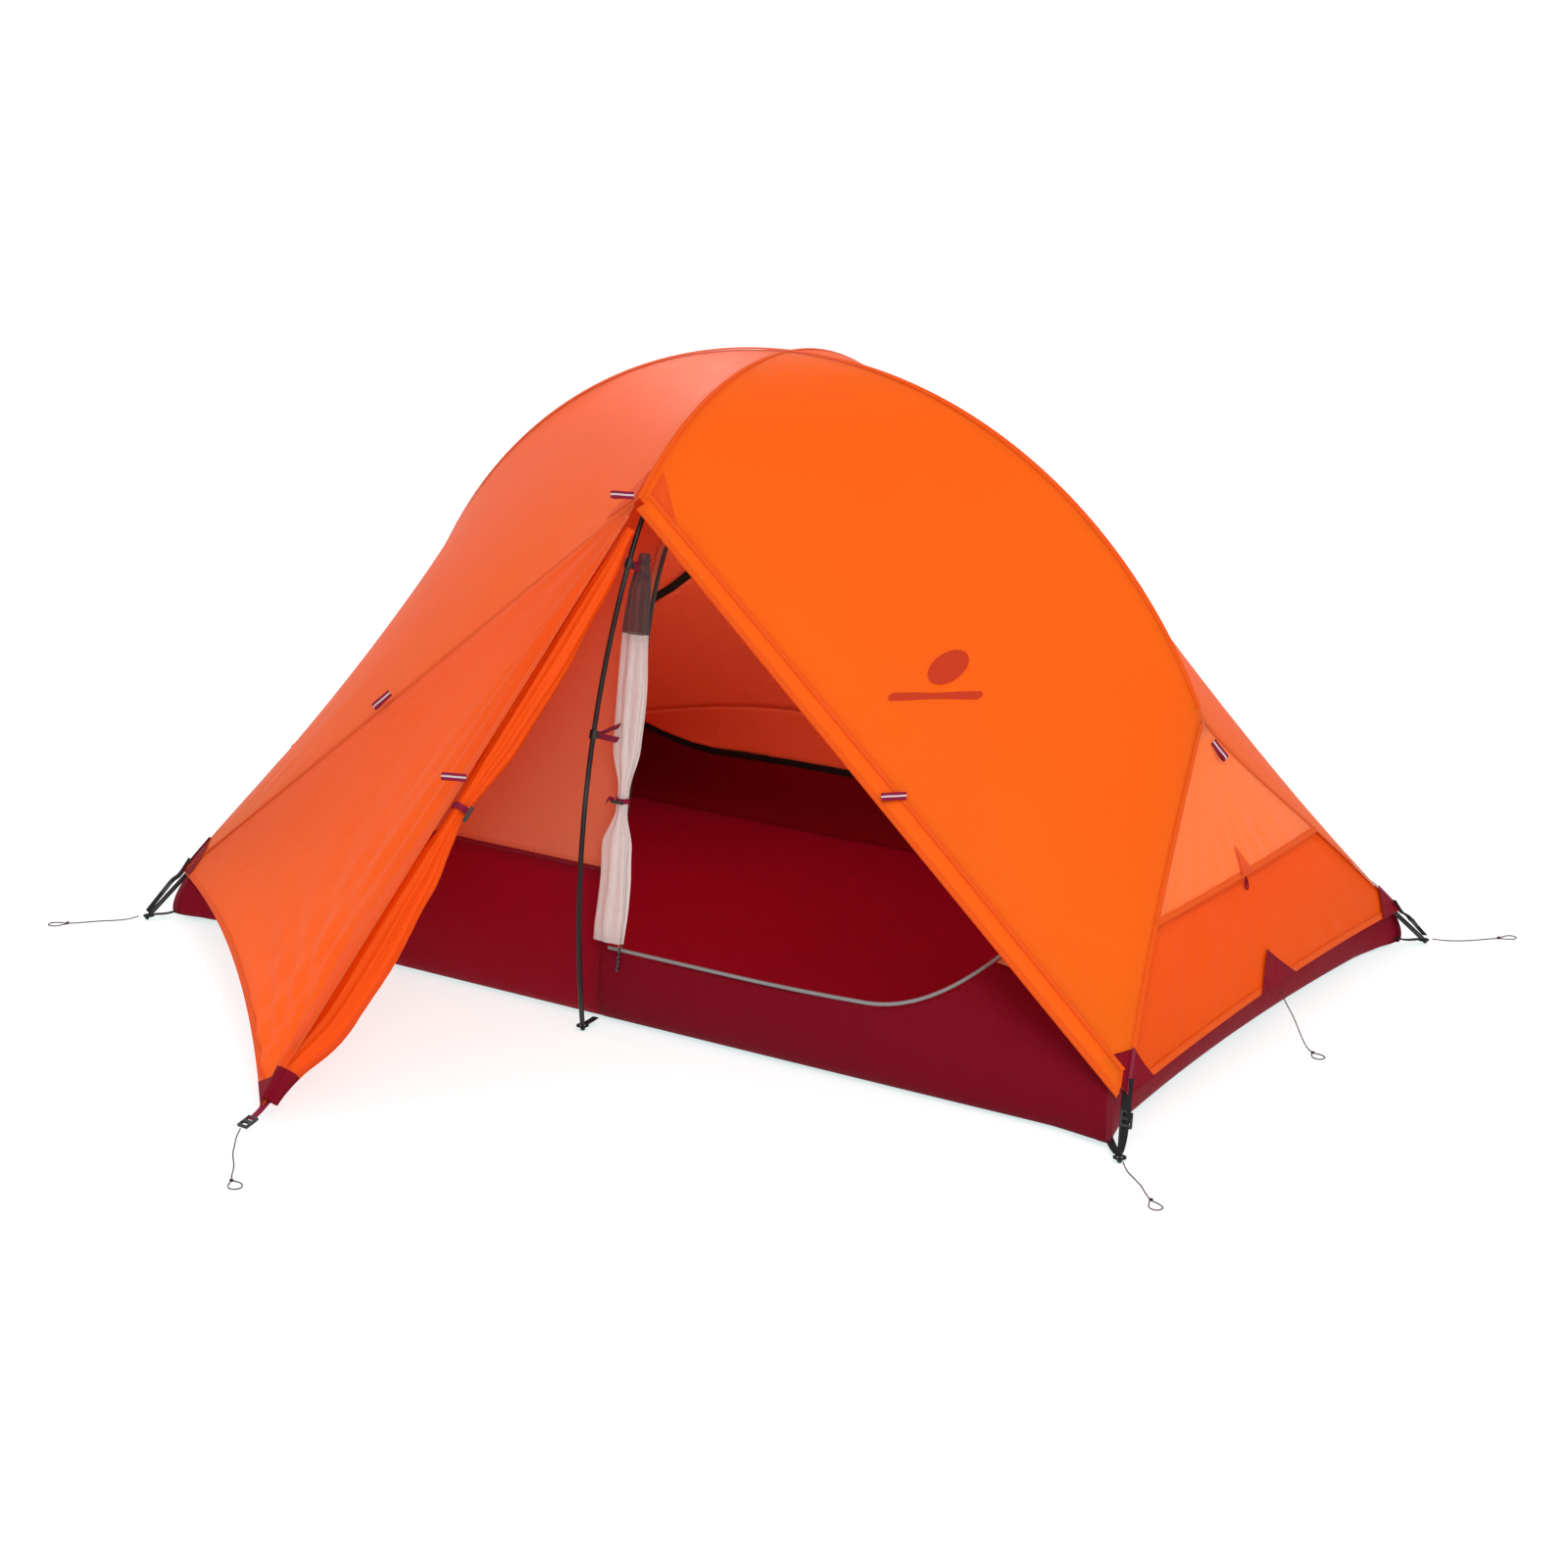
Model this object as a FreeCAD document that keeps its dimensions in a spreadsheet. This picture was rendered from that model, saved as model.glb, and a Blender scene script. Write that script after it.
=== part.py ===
import FreeCAD, Part
import math
import os
import Sketcher

from FreeCAD import Placement, Rotation, Vector

# A hubbed-pole double-wall tent for two people, pitched.
# +X runs along the ridge, -Y faces the near door, +Z is up.
# The origin is on the ground under the middle of the floor.
# The tent looks the same turned half a turn about Z, apart from its doors:
# the near doors are rolled back and the far ones are zipped shut.

os.makedirs("parts", exist_ok=True)
doc = FreeCAD.newDocument("Tent")

# ---------------------------------------------------------------- driving dimensions

SIZES = [
    ("floor_half_x", 1065, "half of the floor's length"),
    ("floor_half_y", 635, "half of the floor's width, at the wall's widest"),
    ("tub_height", 285, "height of the tub floor's long walls"),
    ("sill_height", 146, "height of the door sill"),
    ("ridge_radius", 1000, "radius of the fly along the ridge"),
    ("ridge_top", 1187, "highest point of the fly"),
    ("hub_x", 914, "distance from the middle to a hub"),
    ("tip_x", 1120, "corner pole tip, along X"),
    ("tip_y", 680, "corner pole tip, along Y"),
    ("arch_radius", 680, "radius of the fly over the cross pole"),
    ("apex_y", 490, "vestibule apex, along Y"),
    ("stake_x", 182, "vestibule corner, along X"),
    ("stake_y", 1360, "vestibule corner, along Y"),
    ("stake_z", 30, "vestibule corner, height"),
    ("pole_width", 9.5, "outer diameter of the pole tubes"),
    ("pole_bore", 7.9, "bore of the pole tubes"),
    ("ferrule_width", 7.2, "diameter of the ferrule inserts"),
    ("ferrule_length", 30, "length of the ferrule inserts"),
    ("elastic_width", 2.5, "diameter of the shock cord"),
    ("socket_width", 16, "outer diameter of a hub socket"),
    ("socket_bore", 9.9, "bore of a hub socket"),
    ("socket_length", 34, "length of a hub socket"),
    ("cloth", 2, "thickness that stands for the fly and wall cloth"),
    ("zip_tape", 5, "width of each half of a zip"),
    ("zip_thick", 1.6, "thickness of a zip's coil"),
    ("zip_slot", 2, "gap between a zip's halves"),
    ("slider_length", 13, "length of a zip slider"),
    ("slider_width", 11, "width of a zip slider"),
    ("plate", 1.2, "thickness of a slider's plates"),
    ("pin_width", 1, "diameter of a slider's bail pin"),
    ("pull_thick", 2.4, "thickness of a pull tab"),
    ("pull_width", 4, "width of a pull tab"),
    ("fly_pull_length", 34, "length of a fly zip's pull tab"),
    ("door_pull_length", 42, "length of a door zip's pull tab"),
    ("clip_width", 15, "outer diameter of a pole clip"),
    ("clip_bore", 10.2, "bore of a pole clip"),
    ("clip_length", 16, "length of a pole clip along the pole"),
    ("buckle_length", 30, "length of a ladder-lock buckle"),
    ("buckle_width", 22, "width of a ladder-lock buckle"),
    ("buckle_thick", 5, "thickness of a ladder-lock buckle"),
    ("webbing_width", 15, "width of the corner webbing"),
    ("webbing_thick", 1.6, "thickness of the webbing"),
    ("grommet_width", 24, "outer diameter of a corner grommet"),
    ("grommet_bore", 10.4, "bore of a corner grommet"),
    ("cord_width", 2.2, "diameter of the guy cords"),
    ("knot_width", 7, "diameter of a guy cord's knot"),
]

sheet = doc.addObject("Spreadsheet::Sheet", "Sizes")
for row, (alias, value, note) in enumerate(SIZES, 1):
    sheet.set("A%d" % row, note)
    sheet.set("B%d" % row, str(value))
    sheet.setAlias("B%d" % row, alias)
doc.recompute()


def size(alias):
    return float(getattr(sheet, alias))


CLOTH = size("cloth")
POLE_RADIUS = size("pole_width") / 2
FLY_GAP = 6
parts = []


def keep(thing, name):
    thing.Label = name
    parts.append(thing)
    return thing


def shaped(name, shape):
    """A sub-part whose shape is made with Part's own functions."""
    thing = doc.addObject("Part::Feature", name)
    thing.Shape = shape
    return keep(thing, name)


def unit(vector):
    return Vector(vector) / vector.Length


def mix(a, b, amount):
    return a * (1 - amount) + b * amount


def half_turn(point):
    return Vector(-point.x, -point.y, point.z)


def place(origin, x_dir, z_dir):
    """Placement with local X along x_dir and local Z as near z_dir as it can be."""
    x_axis = unit(x_dir)
    y_axis = unit(z_dir.cross(x_axis))
    z_axis = x_axis.cross(y_axis)
    return Placement(origin, Rotation(x_axis, y_axis, z_axis, "XYZ"))


def turned(shape):
    """The same piece on the other side: half a turn about Z."""
    other = shape.copy()
    other.rotate(Vector(0, 0, 0), Vector(0, 0, 1), 180)
    return other


def pair(shape):
    return Part.makeCompound([shape, turned(shape)])


# ---------------------------------------------------------------- lines the fly is sewn to

RIDGE_CENTRE = size("ridge_top") - size("ridge_radius")
HUB_ANGLE = math.asin(size("hub_x") / size("ridge_radius"))
ARCH_TOP = 1185
ARCH_CENTRE = ARCH_TOP - size("arch_radius")
APEX_ANGLE = math.asin(size("apex_y") / size("arch_radius"))
CORNER_AT = 0.87


def ridge(along, radius):
    """Point on the ridge arc, from the middle (0) to the right-hand hub (1)."""
    angle = along * HUB_ANGLE
    return Vector(radius * math.sin(angle), 0, RIDGE_CENTRE + radius * math.cos(angle))


def arch(along):
    """Point on the near half of the fly's cross arch, from the top (0) to the apex (1)."""
    angle = along * APEX_ANGLE
    radius = size("arch_radius")
    return Vector(0, -radius * math.sin(angle), ARCH_CENTRE + radius * math.cos(angle))


def bezier(points, along):
    a, b, c, d = points
    rest = 1 - along
    return a * rest**3 + b * 3 * rest**2 * along + c * 3 * rest * along**2 + d * along**3


HUB = ridge(1, size("ridge_radius"))
TIP = Vector(size("tip_x"), -size("tip_y"), 0)
LEG_SEAM = [HUB, HUB + Vector(19, -90, -105), TIP + Vector(-86, 198, 226), TIP]
APEX = arch(1)
CORNER = bezier(LEG_SEAM, CORNER_AT)
STAKE = Vector(-size("stake_x"), -size("stake_y"), size("stake_z"))


def leg_seam(along):
    return bezier(LEG_SEAM, along)


def mirrored(point, side_x, side_y):
    """A near-right point moved to another quarter: side_y is 1 for near and -1 for far."""
    return Vector(point.x * side_x, point.y * side_y, point.z)


# ---------------------------------------------------------------- cloth made as thin closed solids


def spline_surface(rows):
    surface = Part.BSplineSurface()
    surface.interpolate(rows)
    return surface


def grid_normals(rows):
    """Unit normal at each grid point, from its neighbours."""
    last_row = len(rows) - 1
    last_column = len(rows[0]) - 1
    normals = []
    for i in range(last_row + 1):
        line = []
        for j in range(last_column + 1):
            down = rows[min(i + 1, last_row)][j] - rows[max(i - 1, 0)][j]
            across = rows[i][min(j + 1, last_column)] - rows[i][max(j - 1, 0)]
            line.append(unit(down.cross(across)))
        normals.append(line)
    return normals


def cloth_solid(rows, thickness, lift=0.0):
    """Closed solid on a grid of points: its inner face is lift along the normal, its outer one thicker."""
    normals = grid_normals(rows)
    faces = []
    for height in (lift, lift + thickness):
        moved = [
            [point + normal * height for point, normal in zip(points, line)]
            for points, line in zip(rows, normals)
        ]
        faces.append(spline_surface(moved))
    inner, outer = faces
    first_u, last_u, first_v, last_v = inner.bounds()
    borders = [(inner.uIso(at), outer.uIso(at)) for at in (first_u, last_u)]
    borders += [(inner.vIso(at), outer.vIso(at)) for at in (first_v, last_v)]
    walls = []
    for low, high in borders:
        wires = [Part.Wire([low.toShape()]), Part.Wire([high.toShape()])]
        walls.append(Part.makeLoft(wires, False, True).Faces[0])
    shell = Part.makeShell([inner.toShape(), outer.toShape()] + walls)
    shell.sewShape()
    solid = Part.makeSolid(shell)
    if solid.Volume < 0:
        solid.reverse()
    return solid


def coons(top, bottom, left, right, u, v):
    """Point of the patch between four boundary lines: u runs left to right, v top to bottom."""
    flat = mix(mix(top(0), top(1), u), mix(bottom(0), bottom(1), u), v)
    return mix(top(u), bottom(u), v) + mix(left(v), right(v), u) - flat


def steps(first, last, count):
    return [first + (last - first) * i / (count - 1) for i in range(count)]


EDGE = 0.006
GRID = 9

# ---------------------------------------------------------------- fly: roof quarters and ends


def roof_point(u, v):
    return coons(
        lambda a: ridge(a, size("ridge_radius")),
        lambda a: mix(APEX, CORNER, a),
        arch,
        lambda a: leg_seam(a * CORNER_AT),
        u,
        v,
    )


def roof_quarter(side_x, side_y):
    rows = [
        [mirrored(roof_point(u, v), side_x, side_y) for u in steps(EDGE, 1 - EDGE, 13)]
        for v in steps(EDGE, 1 - EDGE, GRID)
    ]
    inward = 1 if side_x * side_y < 0 else -1
    return cloth_solid(rows, inward * CLOTH)


END_TOP = 0.1
AWNING_AT = 0.56
AWNING_LAP = 0.03
AWNING_LIFT = 0.4
LOWER_LIFT = -2.8
HEM_RISE = 25
END_BULGE = 6


def end_point(along, across):
    """Point of the right-hand end panel: down the legs, then from the near (-1) to the far (1) leg."""
    near = leg_seam(along)
    share = (along / CORNER_AT) ** 3
    swell = 1 - across**2
    return Vector(near.x + END_BULGE * share * swell, near.y * -across, near.z + HEM_RISE * share * swell)


def end_panel(side_x, first, last, lift):
    rows = [
        [end_point(along, across) for across in steps(-1 + 2 * EDGE, 1 - 2 * EDGE, GRID)]
        for along in steps(first, last, 7)
    ]
    solid = cloth_solid(rows, CLOTH, lift)
    return solid if side_x > 0 else turned(solid)


for side_x, side_word in ((-1, "left"), (1, "right")):
    for side_y, depth_word in ((1, "near"), (-1, "far")):
        shaped("fly_roof_%s_%s" % (depth_word, side_word), roof_quarter(side_x, side_y))
    awning = end_panel(side_x, END_TOP, AWNING_AT, AWNING_LIFT)
    lower = end_panel(side_x, AWNING_AT - AWNING_LAP, CORNER_AT, LOWER_LIFT)
    shaped("fly_end_%s" % side_word, Part.makeCompound([awning, lower]))

# ---------------------------------------------------------------- fly: vestibules, zip and flaps

ZIP_LINE = unit(CORNER - APEX)
ROOF_SIDE = roof_point(0.5, 0.8) - roof_point(0.5, 1)
ZIP_OUT = unit(ZIP_LINE.cross(ROOF_SIDE))
if ZIP_OUT.y > 0:
    ZIP_OUT = ZIP_OUT * -1
ZIP_SIDE = ZIP_OUT.cross(ZIP_LINE)
if ZIP_SIDE.z < 0:
    ZIP_SIDE = ZIP_SIDE * -1
ZIP_OFFSET = 9
ZIP_START = 40
ZIP_END_SPARE = 40
ZIP_LENGTH = (CORNER - APEX).Length - ZIP_START - ZIP_END_SPARE
HEM_BOW = 50
VESTIBULE_TOP = 0.05


def hem_point(first, last, along):
    """Point of a vestibule's hem: a straight line bowed upwards."""
    return mix(first, last, along) + Vector(0, 0, 4 * HEM_BOW * along * (1 - along))


def vestibule_rows(first_top, last_top, corner, stake):
    """Three-cornered panel from the apex down to its hem; its short top edge runs first_top to last_top."""
    rows = []
    for v in steps(VESTIBULE_TOP, 1, 7):
        line = []
        for u in steps(EDGE, 1 - EDGE, GRID):
            straight = mix(mix(first_top, last_top, u), mix(corner, stake, u), v)
            line.append(straight + (hem_point(corner, stake, u) - mix(corner, stake, u)) * v**2)
        rows.append(line)
    return rows


NEAR_LEFT_CORNER = Vector(-CORNER.x, CORNER.y, CORNER.z)
PANEL_TOP = APEX + Vector(0, -6, -6)
panel_rows = vestibule_rows(PANEL_TOP, PANEL_TOP, NEAR_LEFT_CORNER + Vector(3, -6, -6), STAKE)
fixed_panel = cloth_solid(panel_rows, CLOTH)
shaped("vestibule_panel_near", fixed_panel)
shaped("vestibule_panel_far", turned(fixed_panel))

DOOR_SHIFT = ZIP_SIDE * -(ZIP_OFFSET + 10)
DOOR_TOP = APEX + Vector(0, -12, -14) + DOOR_SHIFT
SEAM_STEP = Vector(8, -1, -3)
door_rows = vestibule_rows(DOOR_TOP, PANEL_TOP + SEAM_STEP, CORNER + DOOR_SHIFT, STAKE + SEAM_STEP)
far_door = turned(cloth_solid(door_rows, CLOTH))
shaped("fly_door_far", far_door)

ROLL_RADII = (10, 21, 24, 15, 22, 17, 9)
ROLL_SIDE = unit((STAKE - APEX).cross(NEAR_LEFT_CORNER - APEX))
if ROLL_SIDE.z > 0:
    ROLL_SIDE = ROLL_SIDE * -1
ROLL_LINE = unit(STAKE - APEX)
ROLL_ACROSS = unit(ROLL_LINE.cross(ROLL_SIDE))
if ROLL_ACROSS.x < 0:
    ROLL_ACROSS = ROLL_ACROSS * -1
ROLL_INSET = 28


def roll_centre(along):
    return mix(APEX, STAKE, along) + ROLL_SIDE * ROLL_INSET + ROLL_ACROSS * 4


def ring(centre, axis, radius):
    return Part.Wire([Part.makeCircle(radius, centre, axis)])


roll_rings = [
    ring(roll_centre(along), ROLL_LINE, radius)
    for along, radius in zip(steps(0.07, 0.965, len(ROLL_RADII)), ROLL_RADII)
]
shaped("fly_door_near_rolled", Part.makeLoft(roll_rings, True, True))

FLAP_LIFT = 5
FLAP_OVER = 20
FLAP_BACK = 0.035


def flap_rows():
    """Storm flap: it lies over the roof's edge and hangs past the zip."""
    rows = []
    for v in steps(1 - FLAP_BACK, 1 - EDGE, 3):
        rows.append([roof_point(u, v) + ZIP_OUT * FLAP_LIFT for u in steps(0.02, 0.985, 13)])
    edge = [roof_point(u, 1) - ZIP_SIDE * FLAP_OVER + ZIP_OUT * FLAP_LIFT for u in steps(0.02, 0.985, 13)]
    rows.append(edge)
    return rows


flap = cloth_solid(flap_rows(), CLOTH * 0.75)
shaped("storm_flap_near", flap)
shaped("storm_flap_far", turned(flap))


def bar(origin, x_dir, z_dir, length, width, thick):
    """Plain rectangular bar: it starts at origin and runs along x_dir, centred across and in thickness."""
    box = Part.makeBox(length, width, thick, Vector(0, -width / 2, -thick / 2))
    box.Placement = place(origin, x_dir, z_dir)
    return box


def zip_half(origin, x_dir, out_dir, side_dir, side, length):
    shift = side_dir * side * (size("zip_slot") + size("zip_tape")) / 2
    return bar(origin + shift, x_dir, out_dir, length, size("zip_tape"), size("zip_thick"))


FLY_ZIP = APEX + ZIP_LINE * ZIP_START - ZIP_SIDE * ZIP_OFFSET
roof_half = zip_half(FLY_ZIP, ZIP_LINE, ZIP_OUT, ZIP_SIDE, 1, ZIP_LENGTH)
door_half = zip_half(FLY_ZIP, ZIP_LINE, ZIP_OUT, ZIP_SIDE, -1, ZIP_LENGTH)
shaped("fly_zip_near", roof_half)
shaped("fly_zip_far", turned(Part.makeCompound([roof_half, door_half])))

# ---------------------------------------------------------------- inner tent

INNER_RIDGE = 940
INNER_TOP = RIDGE_CENTRE + INNER_RIDGE
SHOULDER_RADIUS = 505
SHOULDER_ANGLE = math.radians(78.7)
INNER_HUB = ridge(1, INNER_RIDGE)
INNER_FOOT = Vector(1055, -615, 40)
INNER_LEG = [INNER_HUB, INNER_HUB + Vector(21, -70, -104), Vector(985, -440, 225), INNER_FOOT]
TUB_AT = 0.77
TUB_CORNER = bezier(INNER_LEG, TUB_AT)
TUB_STRAIGHT = 300
TUB_MIDDLE = Vector(0, -585, size("tub_height"))
TUB_ROWS = 13


def inner_leg(along):
    return bezier(INNER_LEG, along)


def inner_arch(along):
    """Middle of the near wall, from the peak (0) over the shoulder and down to the tub's top (1)."""
    shoulder = Vector(
        0,
        -SHOULDER_RADIUS * math.sin(SHOULDER_ANGLE),
        INNER_TOP - SHOULDER_RADIUS * (1 - math.cos(SHOULDER_ANGLE)),
    )
    if along < 0.6:
        angle = SHOULDER_ANGLE * along / 0.6
        drop = SHOULDER_RADIUS * (1 - math.cos(angle))
        return Vector(0, -SHOULDER_RADIUS * math.sin(angle), INNER_TOP - drop)
    return mix(shoulder, TUB_MIDDLE, (along - 0.6) / 0.4)


def tub_top(along):
    """Top edge of the near tub wall, from the middle (0) to the right-hand corner (1)."""
    straight_end = Vector(TUB_STRAIGHT, TUB_MIDDLE.y, TUB_MIDDLE.z)
    if along < 0.25:
        return mix(TUB_MIDDLE, straight_end, along / 0.25)
    bend = (straight_end, straight_end + Vector(260, 0, 0), TUB_CORNER + Vector(-260, 20, 70), TUB_CORNER)
    return bezier(bend, (along - 0.25) / 0.75)


def wall_point(u, v):
    return coons(
        lambda a: ridge(a, INNER_RIDGE),
        tub_top,
        inner_arch,
        lambda a: inner_leg(a * TUB_AT),
        u,
        v,
    )


def tub_point(u, v):
    """Point of the near tub wall: u from the middle to the corner, v from its top to the floor."""
    top = tub_top(u)
    spread = u**3
    wall = Vector(top.x + 60 * spread, -640 + 14 * spread, 120)
    edge = Vector(top.x + 72 * spread, -655 + 15 * spread, 0)
    foot = Vector(top.x + 32 * spread, -592, 1)
    return bezier((top, wall, edge, foot), v)


def wall_half():
    rows = [[wall_point(u, v) for u in steps(EDGE / 2, 1 - EDGE, 13)] for v in steps(EDGE, 1 - EDGE, 11)]
    return cloth_solid(rows, CLOTH, -CLOTH)


def tub_half():
    rows = [[tub_point(u, v) for u in steps(EDGE / 2, 1 - EDGE, 25)] for v in steps(0.01, 1, TUB_ROWS)]
    return cloth_solid(rows, CLOTH, -CLOTH)


def flip_x(shape):
    return shape.mirror(Vector(0, 0, 0), Vector(1, 0, 0))


SILL_START = 14
SILL_END = 560
SILL = size("sill_height")


def door_outline(inset):
    """The D of the doorway in the XZ plane, as a prism through the near wall."""
    low = SILL + inset
    first = Vector(SILL_START + inset, -800, low)
    corner = Vector(SILL_END, -800, low)
    low_bend = Vector(720 - inset, -800, 190 + inset)
    outermost = Vector(800 - inset, -800, 275)
    high_bend = Vector(752 - inset, -800, 376 - inset)
    diagonal = Vector(550 - inset, -800, 581 - inset)
    shoulder = Vector(300 - inset, -800, 765 - inset)
    top = Vector(SILL_START + 40, -800, 905 - inset)
    back = Vector(SILL_START + inset, -800, 880 - inset)
    edges = [
        Part.makeLine(first, corner),
        Part.Arc(corner, low_bend, outermost).toShape(),
        Part.Arc(outermost, high_bend, diagonal).toShape(),
        Part.Arc(diagonal, shoulder, top).toShape(),
        Part.makeLine(top, back),
        Part.makeLine(back, first),
    ]
    return Part.Face(Part.Wire(edges)).extrude(Vector(0, 790, 0))


ZIP_BAND = 9
near_wall = wall_half()
near_tub = tub_half()
doorway = door_outline(0)
door_cut = door_outline(ZIP_BAND)
zip_band = doorway.cut(door_cut)
open_wall = near_wall.cut(doorway)
open_tub = near_tub.cut(doorway)
closed_wall = flip_x(near_wall)
closed_tub = flip_x(near_tub)
wall_pair = Part.makeCompound([open_wall, closed_wall])
shaped("inner_wall_near", wall_pair)
shaped("inner_wall_far", turned(wall_pair))

SILL_ROW = door_outline(ZIP_BAND + 3)
door_panel = Part.makeCompound([near_wall.common(SILL_ROW), near_tub.common(SILL_ROW)])
shaped("inner_door_far", turned(door_panel))


def end_wall_point(along, across):
    near = inner_leg(along)
    return Vector(near.x + 6 * (1 - across**2), near.y * -across, near.z)


def end_tub_point(along, across):
    top = end_wall_point(TUB_AT, across)
    wall = Vector(TUB_CORNER.x + 64, 622 * across, 120)
    edge = Vector(TUB_CORNER.x + 76, 636 * across, 0)
    foot = Vector(TUB_CORNER.x + 34, 586 * across, 1)
    return bezier((top, wall, edge, foot), along)


def end_cloth(function, first, last, rows_count):
    rows = [
        [function(along, across) for across in steps(-0.988, 0.988, GRID)]
        for along in steps(first, last, rows_count)
    ]
    return cloth_solid(rows, CLOTH, -CLOTH)


end_wall = end_cloth(end_wall_point, END_TOP, TUB_AT - 0.008, 7)
end_tub = end_cloth(end_tub_point, 0.01, 1, TUB_ROWS)
shaped("inner_end_right", end_wall)
shaped("inner_end_left", turned(end_wall))

floor_plate = Part.makeBox(2020, 1160, CLOTH, Vector(-1010, -580, 0))
tub_halves = [open_tub, closed_tub, end_tub]
tub_solids = tub_halves + [turned(half) for half in tub_halves] + [floor_plate]
shaped("floor_tub", Part.makeCompound(tub_solids))


def wall_depth(x, z):
    """Near tub wall's Y at a given X and height."""
    u_low, u_high = 0.0, 1.0
    for _ in range(40):
        u_mid = (u_low + u_high) / 2
        if tub_top(u_mid).x < x:
            u_low = u_mid
        else:
            u_high = u_mid
    v_low, v_high = 0.0, 0.8
    for _ in range(40):
        v_mid = (v_low + v_high) / 2
        if tub_point(u_low, v_mid).z > z:
            v_low = v_mid
        else:
            v_high = v_mid
    return tub_point(u_low, v_low).y


SILL_MIDDLE = SILL + 6
SILL_FIRST = Vector(SILL_START + 8, wall_depth(SILL_START + 8, SILL_MIDDLE), SILL_MIDDLE)
SILL_STRAIGHT_END = 440
SILL_LAST = Vector(SILL_STRAIGHT_END, SILL_FIRST.y, SILL_MIDDLE)
SILL_BEND = Vector(SILL_END, wall_depth(SILL_END, SILL_MIDDLE), SILL_MIDDLE)
SILL_LINE = unit(SILL_LAST - SILL_FIRST)
SILL_LENGTH = (SILL_LAST - SILL_FIRST).Length
SILL_BELOW = Vector(SILL_FIRST.x, wall_depth(SILL_FIRST.x, SILL_MIDDLE - 10), SILL_MIDDLE - 10)
SILL_OUT = unit(SILL_LINE.cross(SILL_FIRST - SILL_BELOW))
if SILL_OUT.y > 0:
    SILL_OUT = SILL_OUT * -1
SILL_UP = unit(SILL_LINE.cross(SILL_OUT))
if SILL_UP.z < 0:
    SILL_UP = SILL_UP * -1
bend_line = SILL_BEND - SILL_LAST
sill_halves = []
for side in (-1, 1):
    straight = zip_half(SILL_FIRST, SILL_LINE, SILL_OUT, SILL_UP, side, SILL_LENGTH)
    bend = zip_half(SILL_LAST + unit(bend_line) * 0.5, bend_line, SILL_OUT, SILL_UP, side, bend_line.Length)
    sill_halves.append(Part.makeCompound([straight, bend]))
lower_half, upper_half = sill_halves
above_sill = Part.makeBox(2000, 900, 900, Vector(0, -900, SILL + ZIP_BAND + 4))
curved_zip = Part.makeCompound(
    [near_wall.common(zip_band).common(above_sill), near_tub.common(zip_band).common(above_sill)]
)
shaped("door_zip_near", Part.makeCompound([lower_half, curved_zip]))
shaped("door_zip_far", turned(Part.makeCompound([lower_half, upper_half, curved_zip])))

BUNDLE = ((870, 12, 8), (720, 26, 12), (560, 29, 13), (424, 9, 8), (330, 28, 14), (177, 29, 11))
BUNDLE_X = 16


def bundle_ring(height, half_x, half_y):
    if height < TUB_MIDDLE.z:
        depth = wall_depth(BUNDLE_X, height)
    else:
        depth = TUB_MIDDLE.y + 0.2 * (height - TUB_MIDDLE.z)
    ellipse = Part.Ellipse(Vector(BUNDLE_X, depth - half_y - 8, height), half_x, half_y)
    return Part.Wire([ellipse.toShape()])


shaped("inner_door_near_tied", Part.makeLoft([bundle_ring(*line) for line in BUNDLE], True, True))

# ---------------------------------------------------------------- poles

RIDGE_POLE = size("ridge_radius") - CLOTH - FLY_GAP - POLE_RADIUS
CROWN_TOP = RIDGE_CENTRE + RIDGE_POLE - size("pole_width") - 0.6
CROWN_RADIUS = 650
CROWN_ANGLE = math.radians(35)
SIDE_RADIUS = 1538
SIDE_WIDEST_Y = 690
SIDE_WIDEST_Z = 170


def tube_along(edge, outer, inner):
    """Tube (or rod, when inner is 0) round one line or arc edge."""
    start = edge.valueAt(edge.FirstParameter)
    tangent = edge.tangentAt(edge.FirstParameter)
    face = Part.Face(Part.Wire([Part.makeCircle(outer, start, tangent)]))
    if inner > 0:
        hole = Part.Face(Part.Wire([Part.makeCircle(inner, start, tangent)]))
        face = face.cut(hole)
    if isinstance(edge.Curve, Part.Circle):
        centre = edge.Curve.Center
        axis = edge.Curve.Axis
        turn = math.degrees(edge.LastParameter - edge.FirstParameter)
        if (start - centre).cross(tangent).dot(axis) < 0:
            axis = axis * -1
        return face.revolve(centre, axis, turn)
    return face.extrude(tangent * edge.Length)


def tube_run(edges, outer, inner):
    """One tube along several edges, joined into one solid."""
    solids = [part for edge in edges for part in tube_along(edge, outer, inner).Solids]
    joined = solids[0]
    for part in solids[1:]:
        joined = joined.fuse(part)
    return joined.removeSplitter()


def arc_through(function, first, last):
    return Part.Arc(function(first), function((first + last) / 2), function(last)).toShape()


def cross_point(angle_or_height, part):
    """Point of the near half of the cross pole, on its crown, shoulder or side arc."""
    if part == "crown":
        sine, cosine = math.sin(angle_or_height), math.cos(angle_or_height)
        return Vector(0, -CROWN_RADIUS * sine, CROWN_TOP - CROWN_RADIUS * (1 - cosine))
    if part == "shoulder":
        sine, cosine = math.sin(angle_or_height), math.cos(angle_or_height)
        return Vector(0, SHOULDER.y - shoulder_radius * sine, SHOULDER.z + shoulder_radius * cosine)
    drop = angle_or_height - SIDE_WIDEST_Z
    return Vector(0, SIDE_RADIUS - SIDE_WIDEST_Y - math.sqrt(SIDE_RADIUS**2 - drop**2), angle_or_height)


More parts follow.
